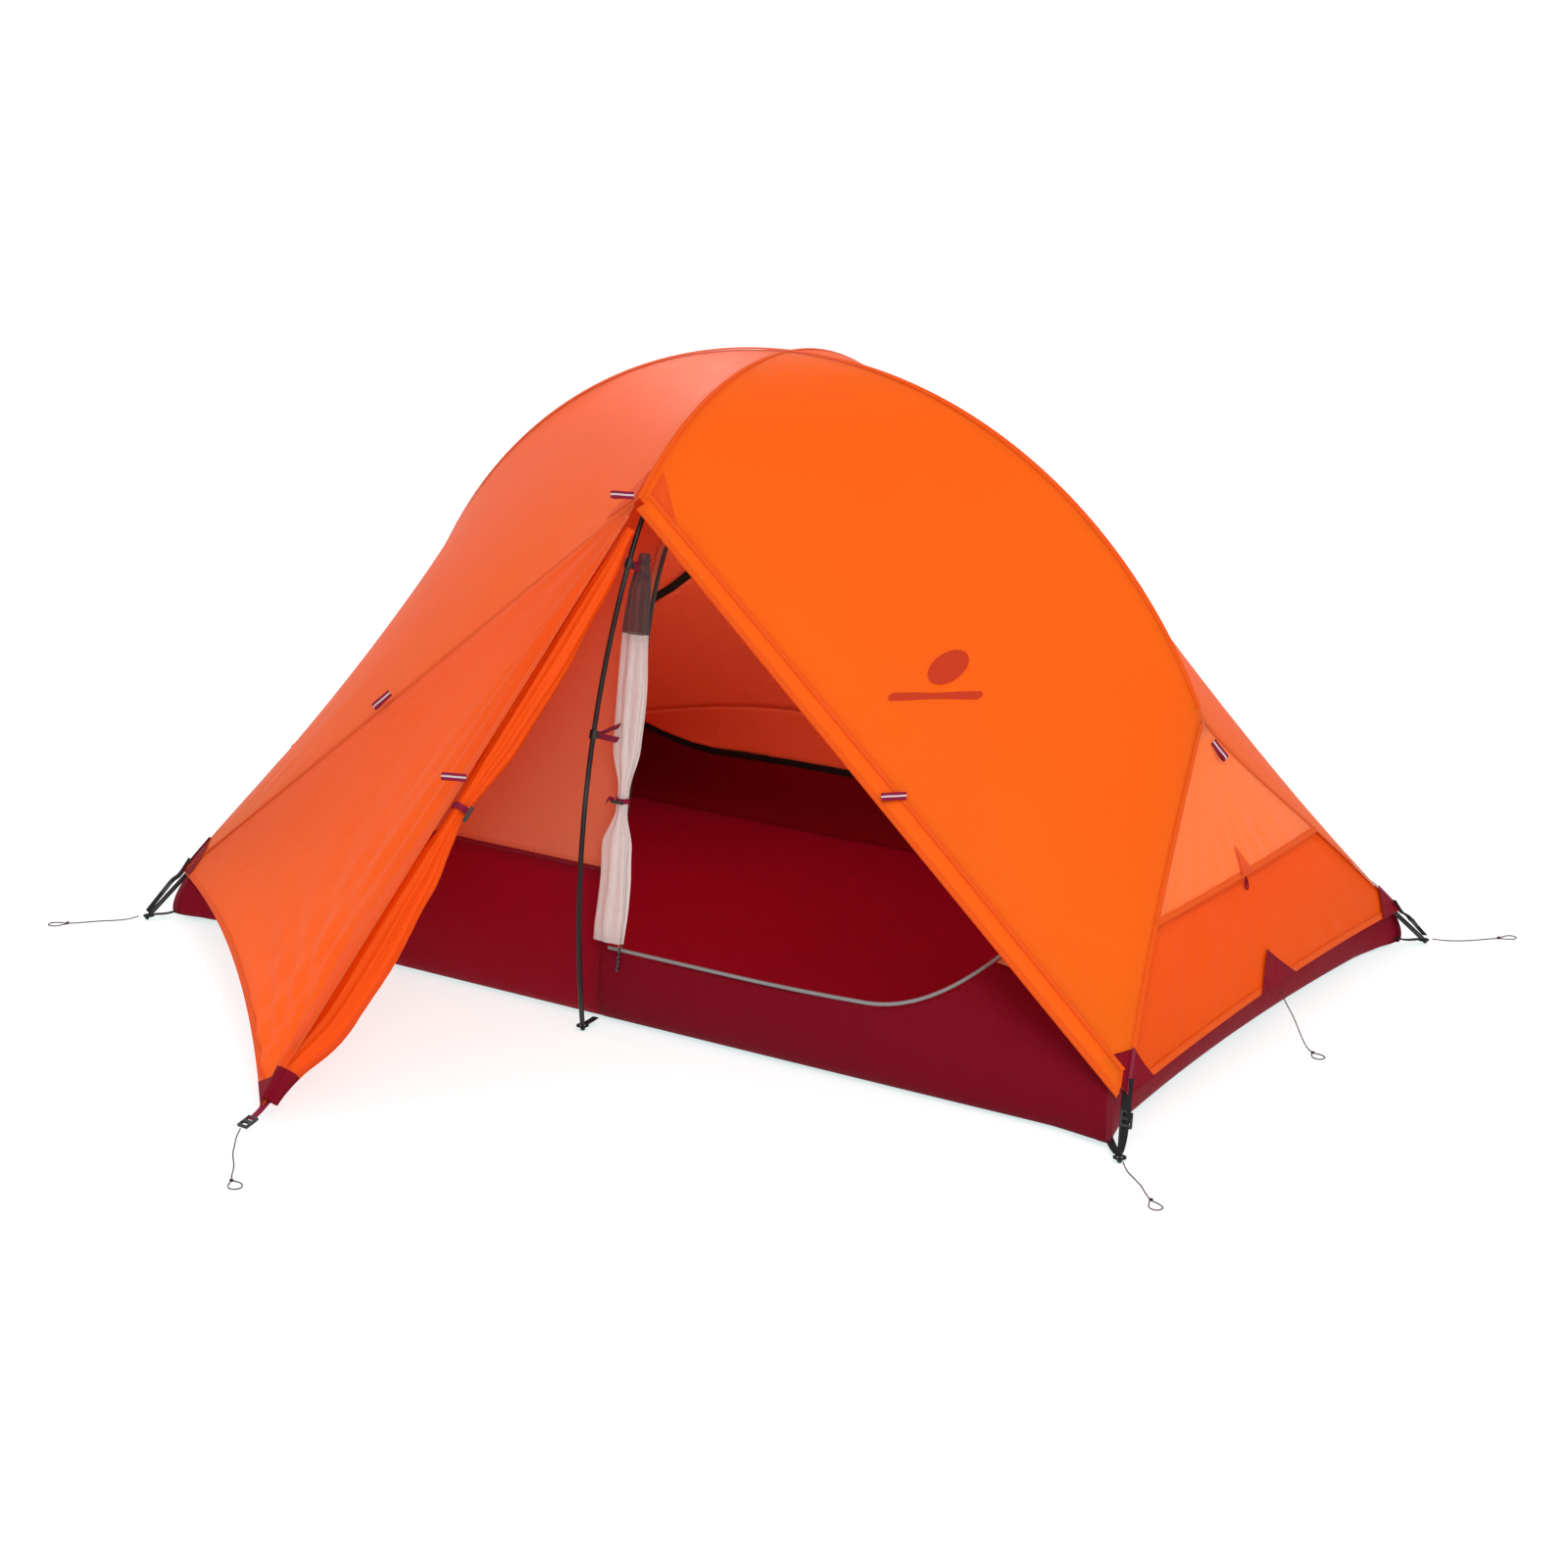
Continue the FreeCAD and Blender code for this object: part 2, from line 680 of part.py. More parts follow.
# The shoulder arc is tangent to the crown arc and to the side arc.
crown_centre = Vector(0, 0, CROWN_TOP - CROWN_RADIUS)
side_centre = Vector(0, SIDE_RADIUS - SIDE_WIDEST_Y, SIDE_WIDEST_Z)
crown_ray = Vector(0, -math.sin(CROWN_ANGLE), math.cos(CROWN_ANGLE))
between = crown_centre - side_centre
reach = SIDE_RADIUS - CROWN_RADIUS
back_off = (between.dot(between) - reach**2) / (2 * (reach - between.dot(crown_ray)))
shoulder_radius = CROWN_RADIUS - back_off
SHOULDER = crown_centre + crown_ray * back_off
side_ray = unit(SHOULDER - side_centre)
side_join = side_centre + side_ray * SIDE_RADIUS
shoulder_end = math.acos(side_ray.z)
CROSS_FOOT = 24.5
SECTION_GAP = 0.3


def near_cross_edges():
    crown = arc_through(lambda a: cross_point(a, "crown"), 0, CROWN_ANGLE)
    shoulder = arc_through(lambda a: cross_point(a, "shoulder"), CROWN_ANGLE, shoulder_end)
    side = arc_through(lambda a: cross_point(a, "side"), side_join.z, CROSS_FOOT)
    return [crown, shoulder, side]


def cut_path(edges, first, last):
    """The stretch of a chain of edges between two distances from its start."""
    kept = []
    passed = 0.0
    for edge in edges:
        start = max(first - passed, 0)
        stop = min(last - passed, edge.Length)
        passed += edge.Length
        if stop - start > 0.5:
            a = edge.getParameterByLength(start)
            b = edge.getParameterByLength(stop)
            if isinstance(edge.Curve, Part.Circle):
                points = [edge.valueAt(value) for value in (a, (a + b) / 2, b)]
                kept.append(Part.Arc(*points).toShape())
            else:
                kept.append(Part.makeLine(edge.valueAt(a), edge.valueAt(b)))
    return kept


def path_length(edges):
    return sum(edge.Length for edge in edges)


def path_frame(edges, distance):
    """Point and direction at a distance along a chain of edges."""
    for edge in edges:
        if distance <= edge.Length:
            value = edge.getParameterByLength(distance)
            return edge.valueAt(value), unit(edge.tangentAt(value))
        distance -= edge.Length
    edge = edges[-1]
    return edge.valueAt(edge.LastParameter), unit(edge.tangentAt(edge.LastParameter))


def ferrule_at(centre, direction):
    """Short hollow insert that joins two tube sections."""
    foot = centre - direction * size("ferrule_length") / 2
    outer = Part.makeCylinder(size("ferrule_width") / 2, size("ferrule_length"), foot, direction)
    bore = Part.makeCylinder(size("ferrule_width") / 2 - 1.2, size("ferrule_length"), foot, direction)
    return outer.cut(bore)


def pole_sections(edges, count):
    """The tube sections of a pole and the ferrule insert at each joint."""
    total = path_length(edges)
    length = total / count
    tubes = []
    ferrules = []
    for index in range(count):
        first = index * length + SECTION_GAP / 2
        last = (index + 1) * length - SECTION_GAP / 2
        tubes.append(tube_run(cut_path(edges, first, last), POLE_RADIUS, size("pole_bore") / 2))
        if index:
            ferrules.append(ferrule_at(*path_frame(edges, index * length)))
    return tubes, ferrules


def seam_to_pole(point, along):
    """Leg pole's middle, a pole's half width and the fly's gap inside the seam, fading to the tip."""
    inside = POLE_RADIUS + CLOTH + FLY_GAP
    inward = unit(Vector(-0.75, 0.35, -0.55))
    return point + inward * inside * min(1, (1 - along) / 0.13)


def leg_pole_point(along):
    return seam_to_pole(leg_seam(along), along)


LEG_FIRST = 0.035
LEG_MIDDLE = 0.56
LEG_LAST = 0.9707
leg_edges = [
    arc_through(leg_pole_point, LEG_FIRST, LEG_MIDDLE),
    arc_through(leg_pole_point, LEG_MIDDLE, LEG_LAST),
]


def ridge_pole_point(along):
    return ridge(along, RIDGE_POLE)


RIDGE_STOP = 1 - 14 / (RIDGE_POLE * HUB_ANGLE)
ridge_edges = [arc_through(ridge_pole_point, -RIDGE_STOP, RIDGE_STOP)]
near_cross = near_cross_edges()
ridge_tubes, ferrules = pole_sections(ridge_edges, 5)
shaped("ridge_pole", Part.makeCompound(ridge_tubes))


def flip_y(shape):
    return shape.mirror(Vector(0, 0, 0), Vector(0, 1, 0))


def far_edge(edge):
    a, b = edge.FirstParameter, edge.LastParameter
    points = [edge.valueAt(value) for value in (b, (a + b) / 2, a)]
    return Part.Arc(*[Vector(point.x, -point.y, point.z) for point in points]).toShape()


cross_edges = [far_edge(edge) for edge in reversed(near_cross)] + near_cross
cross_tubes, cross_ferrules = pole_sections(cross_edges, 7)
ferrules += cross_ferrules
shaped("cross_pole", Part.makeCompound(cross_tubes))

leg_tubes = []
for edge in leg_edges:
    trimmed = cut_path([edge], SECTION_GAP / 2, edge.Length - SECTION_GAP / 2)
    leg_tubes.append(tube_run(trimmed, POLE_RADIUS, size("pole_bore") / 2))
leg_shape = Part.makeCompound(leg_tubes)
joint, joint_direction = path_frame(leg_edges, leg_edges[0].Length)
leg_ferrule = ferrule_at(joint, joint_direction)
leg_cord = Part.makeCompound([tube_along(edge, size("elastic_width") / 2, 0) for edge in leg_edges])
quarters = (
    ("near_right", lambda shape: shape.copy()),
    ("near_left", flip_x),
    ("far_right", flip_y),
    ("far_left", turned),
)
for quarter, moved in quarters:
    shaped("leg_pole_%s" % quarter, moved(leg_shape))
    ferrules.append(moved(leg_ferrule))
shaped("pole_ferrules", Part.makeCompound(ferrules))
elastic = [tube_run(ridge_edges, size("elastic_width") / 2, 0)]
elastic.append(tube_run(cross_edges, size("elastic_width") / 2, 0))
elastic += [moved(leg_cord) for quarter, moved in quarters]
shaped("shock_cords", Part.makeCompound(elastic))

# ---------------------------------------------------------------- hubs


def bound_cylinder(name, radius, height, placement):
    thing = doc.addObject("Part::Cylinder", name)
    thing.setExpression("Radius", radius)
    thing.setExpression("Height", height)
    thing.Placement = placement
    return thing


def along_z(origin, direction):
    """Placement whose local Z runs along a direction."""
    return Placement(origin, Rotation(Vector(0, 0, 1), direction))


ridge_start = ridge_pole_point(RIDGE_STOP)
ridge_tangent = unit(ridge_pole_point(RIDGE_STOP - 0.01) - ridge_start)
leg_start = leg_pole_point(LEG_FIRST)
leg_tangent = unit(leg_edges[0].tangentAt(leg_edges[0].FirstParameter))
far_start = Vector(leg_start.x, -leg_start.y, leg_start.z)
far_tangent = Vector(leg_tangent.x, -leg_tangent.y, leg_tangent.z)
ARM_BACK = 12
arms = ((ridge_start, ridge_tangent), (leg_start, leg_tangent), (far_start, far_tangent))


def make_hub(name, spin):
    """Y hub: three sockets that meet in a rounded core, each bored for a pole."""
    solids = []
    bores = []
    for index, (start, direction) in enumerate(arms):
        start = spin.multVec(start)
        direction = spin.multVec(direction)
        outer = along_z(start - direction * ARM_BACK, direction)
        solids.append(bound_cylinder("%s_socket%d" % (name, index), "Sizes.socket_width / 2",
                                     "Sizes.socket_length", outer))
        inner = along_z(start - direction * 0.3, direction)
        bores.append(bound_cylinder("%s_bore%d" % (name, index), "Sizes.socket_bore / 2",
                                    "Sizes.socket_length", inner))
    core = doc.addObject("Part::Sphere", "%s_core" % name)
    core.setExpression("Radius", "Sizes.socket_width * 0.62")
    core.Placement = Placement(spin.multVec(CORE), Rotation())
    body = doc.addObject("Part::MultiFuse", "%s_body" % name)
    body.Shapes = solids + [core]
    holes = doc.addObject("Part::MultiFuse", "%s_holes" % name)
    holes.Shapes = bores
    cut = doc.addObject("Part::Cut", name)
    cut.Base = body
    cut.Tool = holes
    return keep(cut, name)


CORE = (ridge_start - ridge_tangent * ARM_BACK + (leg_start + far_start) * 0.5) * 0.5
make_hub("hub_right", Rotation())
make_hub("hub_left", Rotation(Vector(0, 0, 1), 180))

# ---------------------------------------------------------------- bodies with sketches


def origin_plane(body, role):
    return [item for item in body.Origin.OriginFeatures if item.Role == role][0]


def sketch_in(body, name, role="XY_Plane"):
    sketch = body.newObject("Sketcher::SketchObject", name)
    sketch.AttachmentSupport = (origin_plane(body, role), [""])
    sketch.MapMode = "FlatFace"
    return sketch


def constrain(sketch, kind, values, expression, name):
    index = sketch.addConstraint(Sketcher.Constraint(kind, *values))
    sketch.renameConstraint(index, name)
    sketch.setExpression("Constraints.%s" % name, expression)


def sketch_rectangle(sketch, x0, y0, x1, y1, limits):
    """Rectangle whose four sides are held from the origin by sheet expressions."""
    first = sketch.GeometryCount
    corners = [Vector(x0, y0, 0), Vector(x1, y0, 0), Vector(x1, y1, 0), Vector(x0, y1, 0)]
    for index in range(4):
        sketch.addGeometry(Part.LineSegment(corners[index], corners[(index + 1) % 4]), False)
    for index in range(4):
        following = first + (index + 1) % 4
        sketch.addConstraint(Sketcher.Constraint("Coincident", first + index, 2, following, 1))
    for index in (0, 2):
        sketch.addConstraint(Sketcher.Constraint("Horizontal", first + index))
    for index in (1, 3):
        sketch.addConstraint(Sketcher.Constraint("Vertical", first + index))
    names = ("left", "bottom", "right", "top")
    points = ((first, 1), (first, 1), (first + 2, 1), (first + 2, 1))
    kinds = ("DistanceX", "DistanceY", "DistanceX", "DistanceY")
    starts = (x0, y0, x1, y1)
    for name, point, kind, start, limit in zip(names, points, kinds, starts, limits):
        constrain(sketch, kind, (-1, 1, point[0], point[1], start), limit, "%s%d" % (name, first))


def sketch_circle(sketch, x, y, radius, expression):
    first = sketch.GeometryCount
    sketch.addGeometry(Part.Circle(Vector(x, y, 0), Vector(0, 0, 1), radius), False)
    sketch.addConstraint(Sketcher.Constraint("DistanceX", -1, 1, first, 3, x))
    sketch.addConstraint(Sketcher.Constraint("DistanceY", -1, 1, first, 3, y))
    constrain(sketch, "Radius", (first, radius), expression, "radius%d" % first)


def pad(body, sketch, name, expression, both_ways=True):
    feature = body.newObject("PartDesign::Pad", name)
    feature.Profile = sketch
    feature.Midplane = both_ways
    feature.setExpression("Length", expression)
    body.Tip = feature
    return feature


def buckle_master():
    """Ladder-lock buckle: a frame with two bars that the webbing runs round."""
    body = doc.addObject("PartDesign::Body", "ladder_lock_form")
    sketch = sketch_in(body, "frame_outline")
    half_l, half_w = size("buckle_length") / 2, size("buckle_width") / 2
    length, width = "Sizes.buckle_length / 2", "Sizes.buckle_width / 2"
    sketch_rectangle(sketch, -half_l, -half_w, half_l, half_w,
                     ("-%s" % length, "-%s" % width, length, width))
    slots = ((-half_l + 4, -3), (3, half_l - 4))
    limits = (("-Sizes.buckle_length / 2 + 4", "-3"), ("3", "Sizes.buckle_length / 2 - 4"))
    for (left, right), (left_limit, right_limit) in zip(slots, limits):
        sketch_rectangle(sketch, left, -half_w + 3, right, half_w - 3,
                         (left_limit, "-Sizes.buckle_width / 2 + 3", right_limit, "Sizes.buckle_width / 2 - 3"))
    pad(body, sketch, "frame_pad", "Sizes.buckle_thick")
    return body


def clip_master():
    """Pole clip: a C round the pole with a tab for the tent's webbing below it."""
    body = doc.addObject("PartDesign::Body", "pole_clip_form")
    ring_sketch = sketch_in(body, "clip_ring", "YZ_Plane")
    sketch_circle(ring_sketch, 0, 0, size("clip_width") / 2, "Sizes.clip_width / 2")
    sketch_circle(ring_sketch, 0, 0, size("clip_bore") / 2, "Sizes.clip_bore / 2")
    pad(body, ring_sketch, "clip_ring_pad", "Sizes.clip_length")
    tab_sketch = sketch_in(body, "clip_tab", "XY_Plane")
    sketch_rectangle(tab_sketch, -6, -1.2, 6, 1.2, ("-6", "-1.2", "6", "1.2"))
    tab = body.newObject("PartDesign::Pad", "clip_tab_pad")
    tab.Profile = tab_sketch
    tab.setExpression("Length", "Sizes.clip_width / 2 + 12")
    tab.Reversed = True
    body.Tip = tab
    bore_sketch = sketch_in(body, "clip_bore_circle", "YZ_Plane")
    sketch_circle(bore_sketch, 0, 0, size("clip_bore") / 2, "Sizes.clip_bore / 2")
    bore = body.newObject("PartDesign::Pocket", "clip_bore")
    bore.Profile = bore_sketch
    bore.Midplane = True
    bore.setExpression("Length", "Sizes.clip_length * 2")
    body.Tip = bore
    mouth_sketch = sketch_in(body, "clip_mouth", "YZ_Plane")
    sketch_rectangle(mouth_sketch, -3.6, 2, 3.6, 12, ("-3.6", "2", "3.6", "Sizes.clip_width / 2 + 4"))
    mouth = body.newObject("PartDesign::Pocket", "clip_mouth_cut")
    mouth.Profile = mouth_sketch
    mouth.Midplane = True
    mouth.setExpression("Length", "Sizes.clip_length * 2")
    body.Tip = mouth
    return body


def tip_master():
    """Turned pole tip: a ferrule stub, a neck for the grommet and a rounded foot."""
    body = doc.addObject("PartDesign::Body", "pole_tip_form")
    sketch = sketch_in(body, "tip_profile", "XZ_Plane")
    outline = [(0, 0), (3.2, 0), (4.6, 1.4), (4.6, 5), (3.1, 7), (3.1, 12), (4.7, 13.5), (4.7, 24), (0, 24)]
    count = len(outline)
    for index in range(count):
        a = Vector(outline[index][0], outline[index][1], 0)
        b = Vector(outline[(index + 1) % count][0], outline[(index + 1) % count][1], 0)
        sketch.addGeometry(Part.LineSegment(a, b), False)
    for index in range(count):
        sketch.addConstraint(Sketcher.Constraint("Coincident", index, 2, (index + 1) % count, 1))
        sketch.addConstraint(Sketcher.Constraint("DistanceX", -1, 1, index, 1, outline[index][0]))
        sketch.addConstraint(Sketcher.Constraint("DistanceY", -1, 1, index, 1, outline[index][1]))
    turn = body.newObject("PartDesign::Revolution", "tip_turned")
    turn.Profile = sketch
    turn.ReferenceAxis = (sketch, ["V_Axis"])
    turn.Angle = 360
    body.Tip = turn
    return body


def pull_master(name, length_alias):
    """Zip pull: a tab with an eye at its top for the slider's bail pin, hanging along -Z."""
    body = doc.addObject("PartDesign::Body", name)
    sketch = sketch_in(body, "%s_outline" % name, "XZ_Plane")
    half = size("pull_width") / 2
    length = size(length_alias)
    sketch_rectangle(sketch, -half, -length, half, 1.5,
                     ("-Sizes.pull_width / 2", "-Sizes.%s" % length_alias, "Sizes.pull_width / 2", "1.5"))
    pad(body, sketch, "%s_pad" % name, "Sizes.pull_thick")
    eye = sketch_in(body, "%s_eye" % name, "YZ_Plane")
    sketch_circle(eye, 0, 0, 0.6, "Sizes.pin_width / 2 + 0.1")
    hole = body.newObject("PartDesign::Pocket", "%s_hole" % name)
    hole.Profile = eye
    hole.Midplane = True
    hole.Length = 20
    body.Tip = hole
    return body


buckle_form = buckle_master()
clip_form = clip_master()
tip_form = tip_master()
doc.recompute()


def copy_of(master, placement):
    shape = master.Shape.copy()
    shape.Placement = placement
    return shape


# ---------------------------------------------------------------- pole tips, webbing and corner hardware

tip_axis = unit(leg_edges[1].tangentAt(leg_edges[1].LastParameter)) * -1
leg_end = leg_edges[1].valueAt(leg_edges[1].LastParameter)
TIP_LENGTH = 24
CORNER_TIP = leg_end - tip_axis * (TIP_LENGTH + 0.3)
cross_end, cross_direction = path_frame(cross_edges, path_length(cross_edges))
CROSS_TIP = cross_end + cross_direction * (TIP_LENGTH + 0.3)
corner_tip = copy_of(tip_form, along_z(CORNER_TIP, tip_axis))
cross_tip = copy_of(tip_form, along_z(CROSS_TIP, cross_direction * -1))
print("tips stand at", round(corner_tip.BoundBox.ZMin, 2), round(cross_tip.BoundBox.ZMin, 2))
for tip in (corner_tip, cross_tip):
    tip.translate(Vector(0, 0, -tip.BoundBox.ZMin))
tips = [moved(corner_tip) for quarter, moved in quarters] + [cross_tip, flip_y(cross_tip)]
shaped("pole_tips", Part.makeCompound(tips))

GROMMET_AT = 9.5
GROMMET_THICK = 1.6
corner_eye = CORNER_TIP + tip_axis * GROMMET_AT
cross_eye = CROSS_TIP - cross_direction * GROMMET_AT


UP = Vector(0, 0, 1)


def strap(first, last, out_dir, width):
    length = (last - first).Length
    return bar(first, last - first, out_dir, length, width, size("webbing_thick"))


def grommet_tab(eye, axis, target):
    """Webbing disc lying round a pole tip's neck, with the strap from it to the floor's edge."""
    flat = unit(Vector(target.x - eye.x, target.y - eye.y, 0))
    disc = Part.makeCylinder(size("grommet_width") / 2, GROMMET_THICK, eye - UP * GROMMET_THICK / 2)
    band = strap(eye + flat * 9, target, UP, size("webbing_width"))
    hole = Part.makeCylinder(size("grommet_bore") / 2, 24, eye - axis * 12, axis)
    return disc.fuse(band).cut(hole)


corner_strap = grommet_tab(corner_eye, tip_axis, Vector(1058, -612, 22))
cross_strap = grommet_tab(cross_eye, cross_direction * -1, Vector(0, -645, 12))
straps = [moved(corner_strap) for quarter, moved in quarters] + [cross_strap, flip_y(cross_strap)]
shaped("floor_corner_webbing", Part.makeCompound(straps))

OUT = unit(Vector(0.62, -0.42, 0.66))
fly_strap_top = CORNER + OUT * 4 + Vector(2, -4, -8)
fly_strap_foot = leg_seam(0.968) + OUT * 12
buckle_centre = mix(fly_strap_top, fly_strap_foot, 0.45)
strap_line = unit(fly_strap_foot - fly_strap_top)
lock = copy_of(buckle_form, place(buckle_centre, strap_line, OUT))
STRAP_CLEAR = size("buckle_length") / 2 - 5
fly_strap = Part.makeCompound([
    strap(fly_strap_top, buckle_centre - strap_line * (STRAP_CLEAR + 6), OUT, size("webbing_width") - 1),
    strap(buckle_centre + strap_line * (STRAP_CLEAR + 6), fly_strap_foot, OUT, size("webbing_width") - 1),
])
stake_out = unit(Vector(-0.05, -1, -0.25))
stake_lock = copy_of(buckle_form,
                     place(STAKE + stake_out * 34 + Vector(0, 0, -4), stake_out, Vector(0, 0, 1)))
locks = [moved(lock) for quarter, moved in quarters] + [stake_lock, turned(stake_lock)]
shaped("ladder_locks", Part.makeCompound(locks))
stake_strap = strap(STAKE + stake_out * 6 + Vector(0, 0, -3), STAKE + stake_out * 18 + Vector(0, 0, -4),
                    Vector(0, 0, 1), 13)
fly_straps = [moved(fly_strap) for quarter, moved in quarters] + [stake_strap, turned(stake_strap)]
shaped("fly_corner_straps", Part.makeCompound(fly_straps))

LOOP_LENGTH = 44
LOOP_WIDTH = 14
LOOP_THICK = 3


def guy_loop(origin, direction, out_dir):
    """Folded webbing loop with the opening a guy line threads through."""
    block = bar(origin, direction, out_dir, LOOP_LENGTH, LOOP_WIDTH, LOOP_THICK)
    slot = bar(origin + direction * (LOOP_LENGTH - 16), direction, out_dir, 11, LOOP_WIDTH * 2,
               LOOP_THICK * 0.5)
    return block.cut(slot)


left_seam = unit(NEAR_LEFT_CORNER - APEX)
loops = [
    guy_loop(APEX + Vector(-8, -14, 6), unit(Vector(-0.25, -0.9, 0.25)), Vector(0, 0.3, 1)),
    guy_loop(APEX + ZIP_LINE * 755 + ZIP_OUT * 15, unit(ZIP_OUT - ZIP_SIDE * 0.7), ZIP_LINE),
    guy_loop(APEX + left_seam * 705 + Vector(-10, -10, 8), unit(Vector(-0.35, -0.8, 0.45)), left_seam),
    guy_loop(HUB + Vector(17, 18, -46), unit(Vector(0.62, 0.3, -0.72)), Vector(0.7, 0.2, 0.7)),
]
shaped("guy_out_loops", Part.makeCompound([pair(loop) for loop in loops]))

# ---------------------------------------------------------------- pole clips


def clip_on(point, direction, inward):
    return copy_of(clip_form, place(point, direction, inward * -1))


clips = []
for along in (0.2, 0.42, 0.64, 0.86):
    for sign in (-1, 1):
        middle = Vector(0, 0, RIDGE_CENTRE)
        point = ridge_pole_point(along * sign)
        tangent = unit(ridge_pole_point(along * sign + 0.01) - point)
        clips.append(clip_on(point, tangent, unit(middle - point)))
for distance in (330, 640, 960):
    point, direction = path_frame(near_cross, distance)
    inward = unit(Vector(0, 1, 0) - direction * direction.y)
    clip = clip_on(point, direction, inward)
    clips += [clip, flip_y(clip)]
for distance in (260, 600):
    point, direction = path_frame(leg_edges, distance)
    inward = Vector(-0.75, 0.4, -0.5)
    inward = unit(inward - direction * direction.dot(inward))
    clip = clip_on(point, direction, inward)
    clips += [moved(clip) for quarter, moved in quarters]
shaped("pole_clips", Part.makeCompound(clips))

saddle = doc.addObject("Part::Box", "saddle_block")
saddle.setExpression("Length", "Sizes.pole_width * 2.6")
saddle.setExpression("Width", "Sizes.pole_width * 2.6")
saddle.setExpression("Height", "Sizes.pole_width * 1.45")
SADDLE_HALF = size("pole_width") * 1.3
saddle.Placement = Placement(Vector(-SADDLE_HALF, -SADDLE_HALF, CROWN_TOP - 9), Rotation())
channel = doc.addObject("Part::Feature", "saddle_channel")
channel.Shape = tube_along(arc_through(lambda a: cross_point(a, "crown"), -0.05, 0.05), POLE_RADIUS + 0.3, 0)
crossing = doc.addObject("Part::Cut", "crossing_clip")
crossing.Base = saddle
crossing.Tool = channel
keep(crossing, "crossing_clip")

# ---------------------------------------------------------------- zip sliders and pulls

LUG_TALL = 3.6


def slider_box(name, length, width, height, corner):
    box = doc.addObject("Part::Box", name)
    box.setExpression("Length", length)
    box.setExpression("Width", width)
    box.setExpression("Height", height)
    box.Placement = Placement(corner, Rotation())
    return box


def make_slider(name, placement, bail_along_travel):
    """H-shaped slider round the zip's two halves, with two lugs and the pin that its pull swings on."""
    half_l = size("slider_length") / 2
    half_w = size("slider_width") / 2
    level = size("plate")
    top = level * 2
    pieces = [
        slider_box(name + "_upper", "Sizes.slider_length", "Sizes.slider_width", "Sizes.plate",
                   Vector(-half_l, -half_w, level)),
        slider_box(name + "_lower", "Sizes.slider_length", "Sizes.slider_width", "Sizes.plate",
                   Vector(-half_l, -half_w, -top)),
        slider_box(name + "_post", "Sizes.slider_length", "Sizes.plate", "Sizes.plate * 2.4",
                   Vector(-half_l, -level / 2, -level * 1.2)),
    ]
    lug_gap = size("pull_width") / 2 + 0.3
    for sign in (-1, 1):
        start = lug_gap if sign > 0 else -lug_gap - 1
        if bail_along_travel:
            pieces.append(slider_box("%s_lug%d" % (name, sign > 0), "1", "3", "%f" % (LUG_TALL + 0.2),
                                     Vector(start, -1.5, top - 0.2)))
        else:
            pieces.append(slider_box("%s_lug%d" % (name, sign > 0), "3", "1", "%f" % (LUG_TALL + 0.2),
                                     Vector(-1.5, start, top - 0.2)))
    pin = doc.addObject("Part::Cylinder", name + "_pin")
    pin.setExpression("Radius", "Sizes.pin_width / 2")
    pin.setExpression("Height", "Sizes.pull_width + 2")
    reach = size("pull_width") / 2 + 1
    axis = Vector(1, 0, 0) if bail_along_travel else Vector(0, 1, 0)
    pin.Placement = along_z(axis * -reach + Vector(0, 0, top + 2.2), axis)
    pieces.append(pin)
    fuse = doc.addObject("Part::MultiFuse", name)
    fuse.Shapes = pieces
    fuse.Placement = placement
    keep(fuse, name)
    pin_point = placement.multVec(Vector(0, 0, top + 2.2))
    return pin_point, placement.Rotation.multVec(axis)


def hanging_pull(name, length_alias, pin_point, pin_axis, down):
    body = pull_master(name, length_alias)
    hang = unit(down - pin_axis * down.dot(pin_axis))
    body.Placement = Placement(pin_point, Rotation(pin_axis, pin_axis.cross(hang), hang * -1, "XYZ"))
    return keep(body, name)


FLY_PARK = 60
FLY_FAR_SPARE = 120
DOWN = Vector(0, 0, -1)
zip_joints = {}


def spun(placement):
    return Placement(Vector(0, 0, 0), Rotation(Vector(0, 0, 1), 180)).multiply(placement)


fly_seat = place(FLY_ZIP + ZIP_LINE * FLY_PARK, ZIP_LINE, ZIP_OUT * -1)
far_seat = place(FLY_ZIP + ZIP_LINE * (ZIP_LENGTH - FLY_FAR_SPARE), ZIP_LINE, ZIP_OUT * -1)
SILL_PARK = 24
sill_seat = place(SILL_FIRST + SILL_LINE * SILL_PARK, SILL_LINE, SILL_OUT)
WALL_DOWN = SILL_UP * -1
for name, seat, along_travel, alias, down in (
    ("near_fly", fly_seat, False, "fly_pull_length", DOWN),
    ("far_fly", spun(far_seat), False, "fly_pull_length", DOWN),
    ("near_door", sill_seat, True, "door_pull_length", WALL_DOWN),
    ("far_door", spun(sill_seat), True, "door_pull_length", half_turn(WALL_DOWN)),
):
    pin_point, pin_axis = make_slider("%s_slider" % name, seat, along_travel)
    hanging_pull("%s_pull" % name, alias, pin_point, pin_axis, down)
    travel = seat.Rotation.multVec(Vector(1, 0, 0))
    zip_joints[name] = (travel, pin_point, pin_axis)

# ---------------------------------------------------------------- toggles and ties

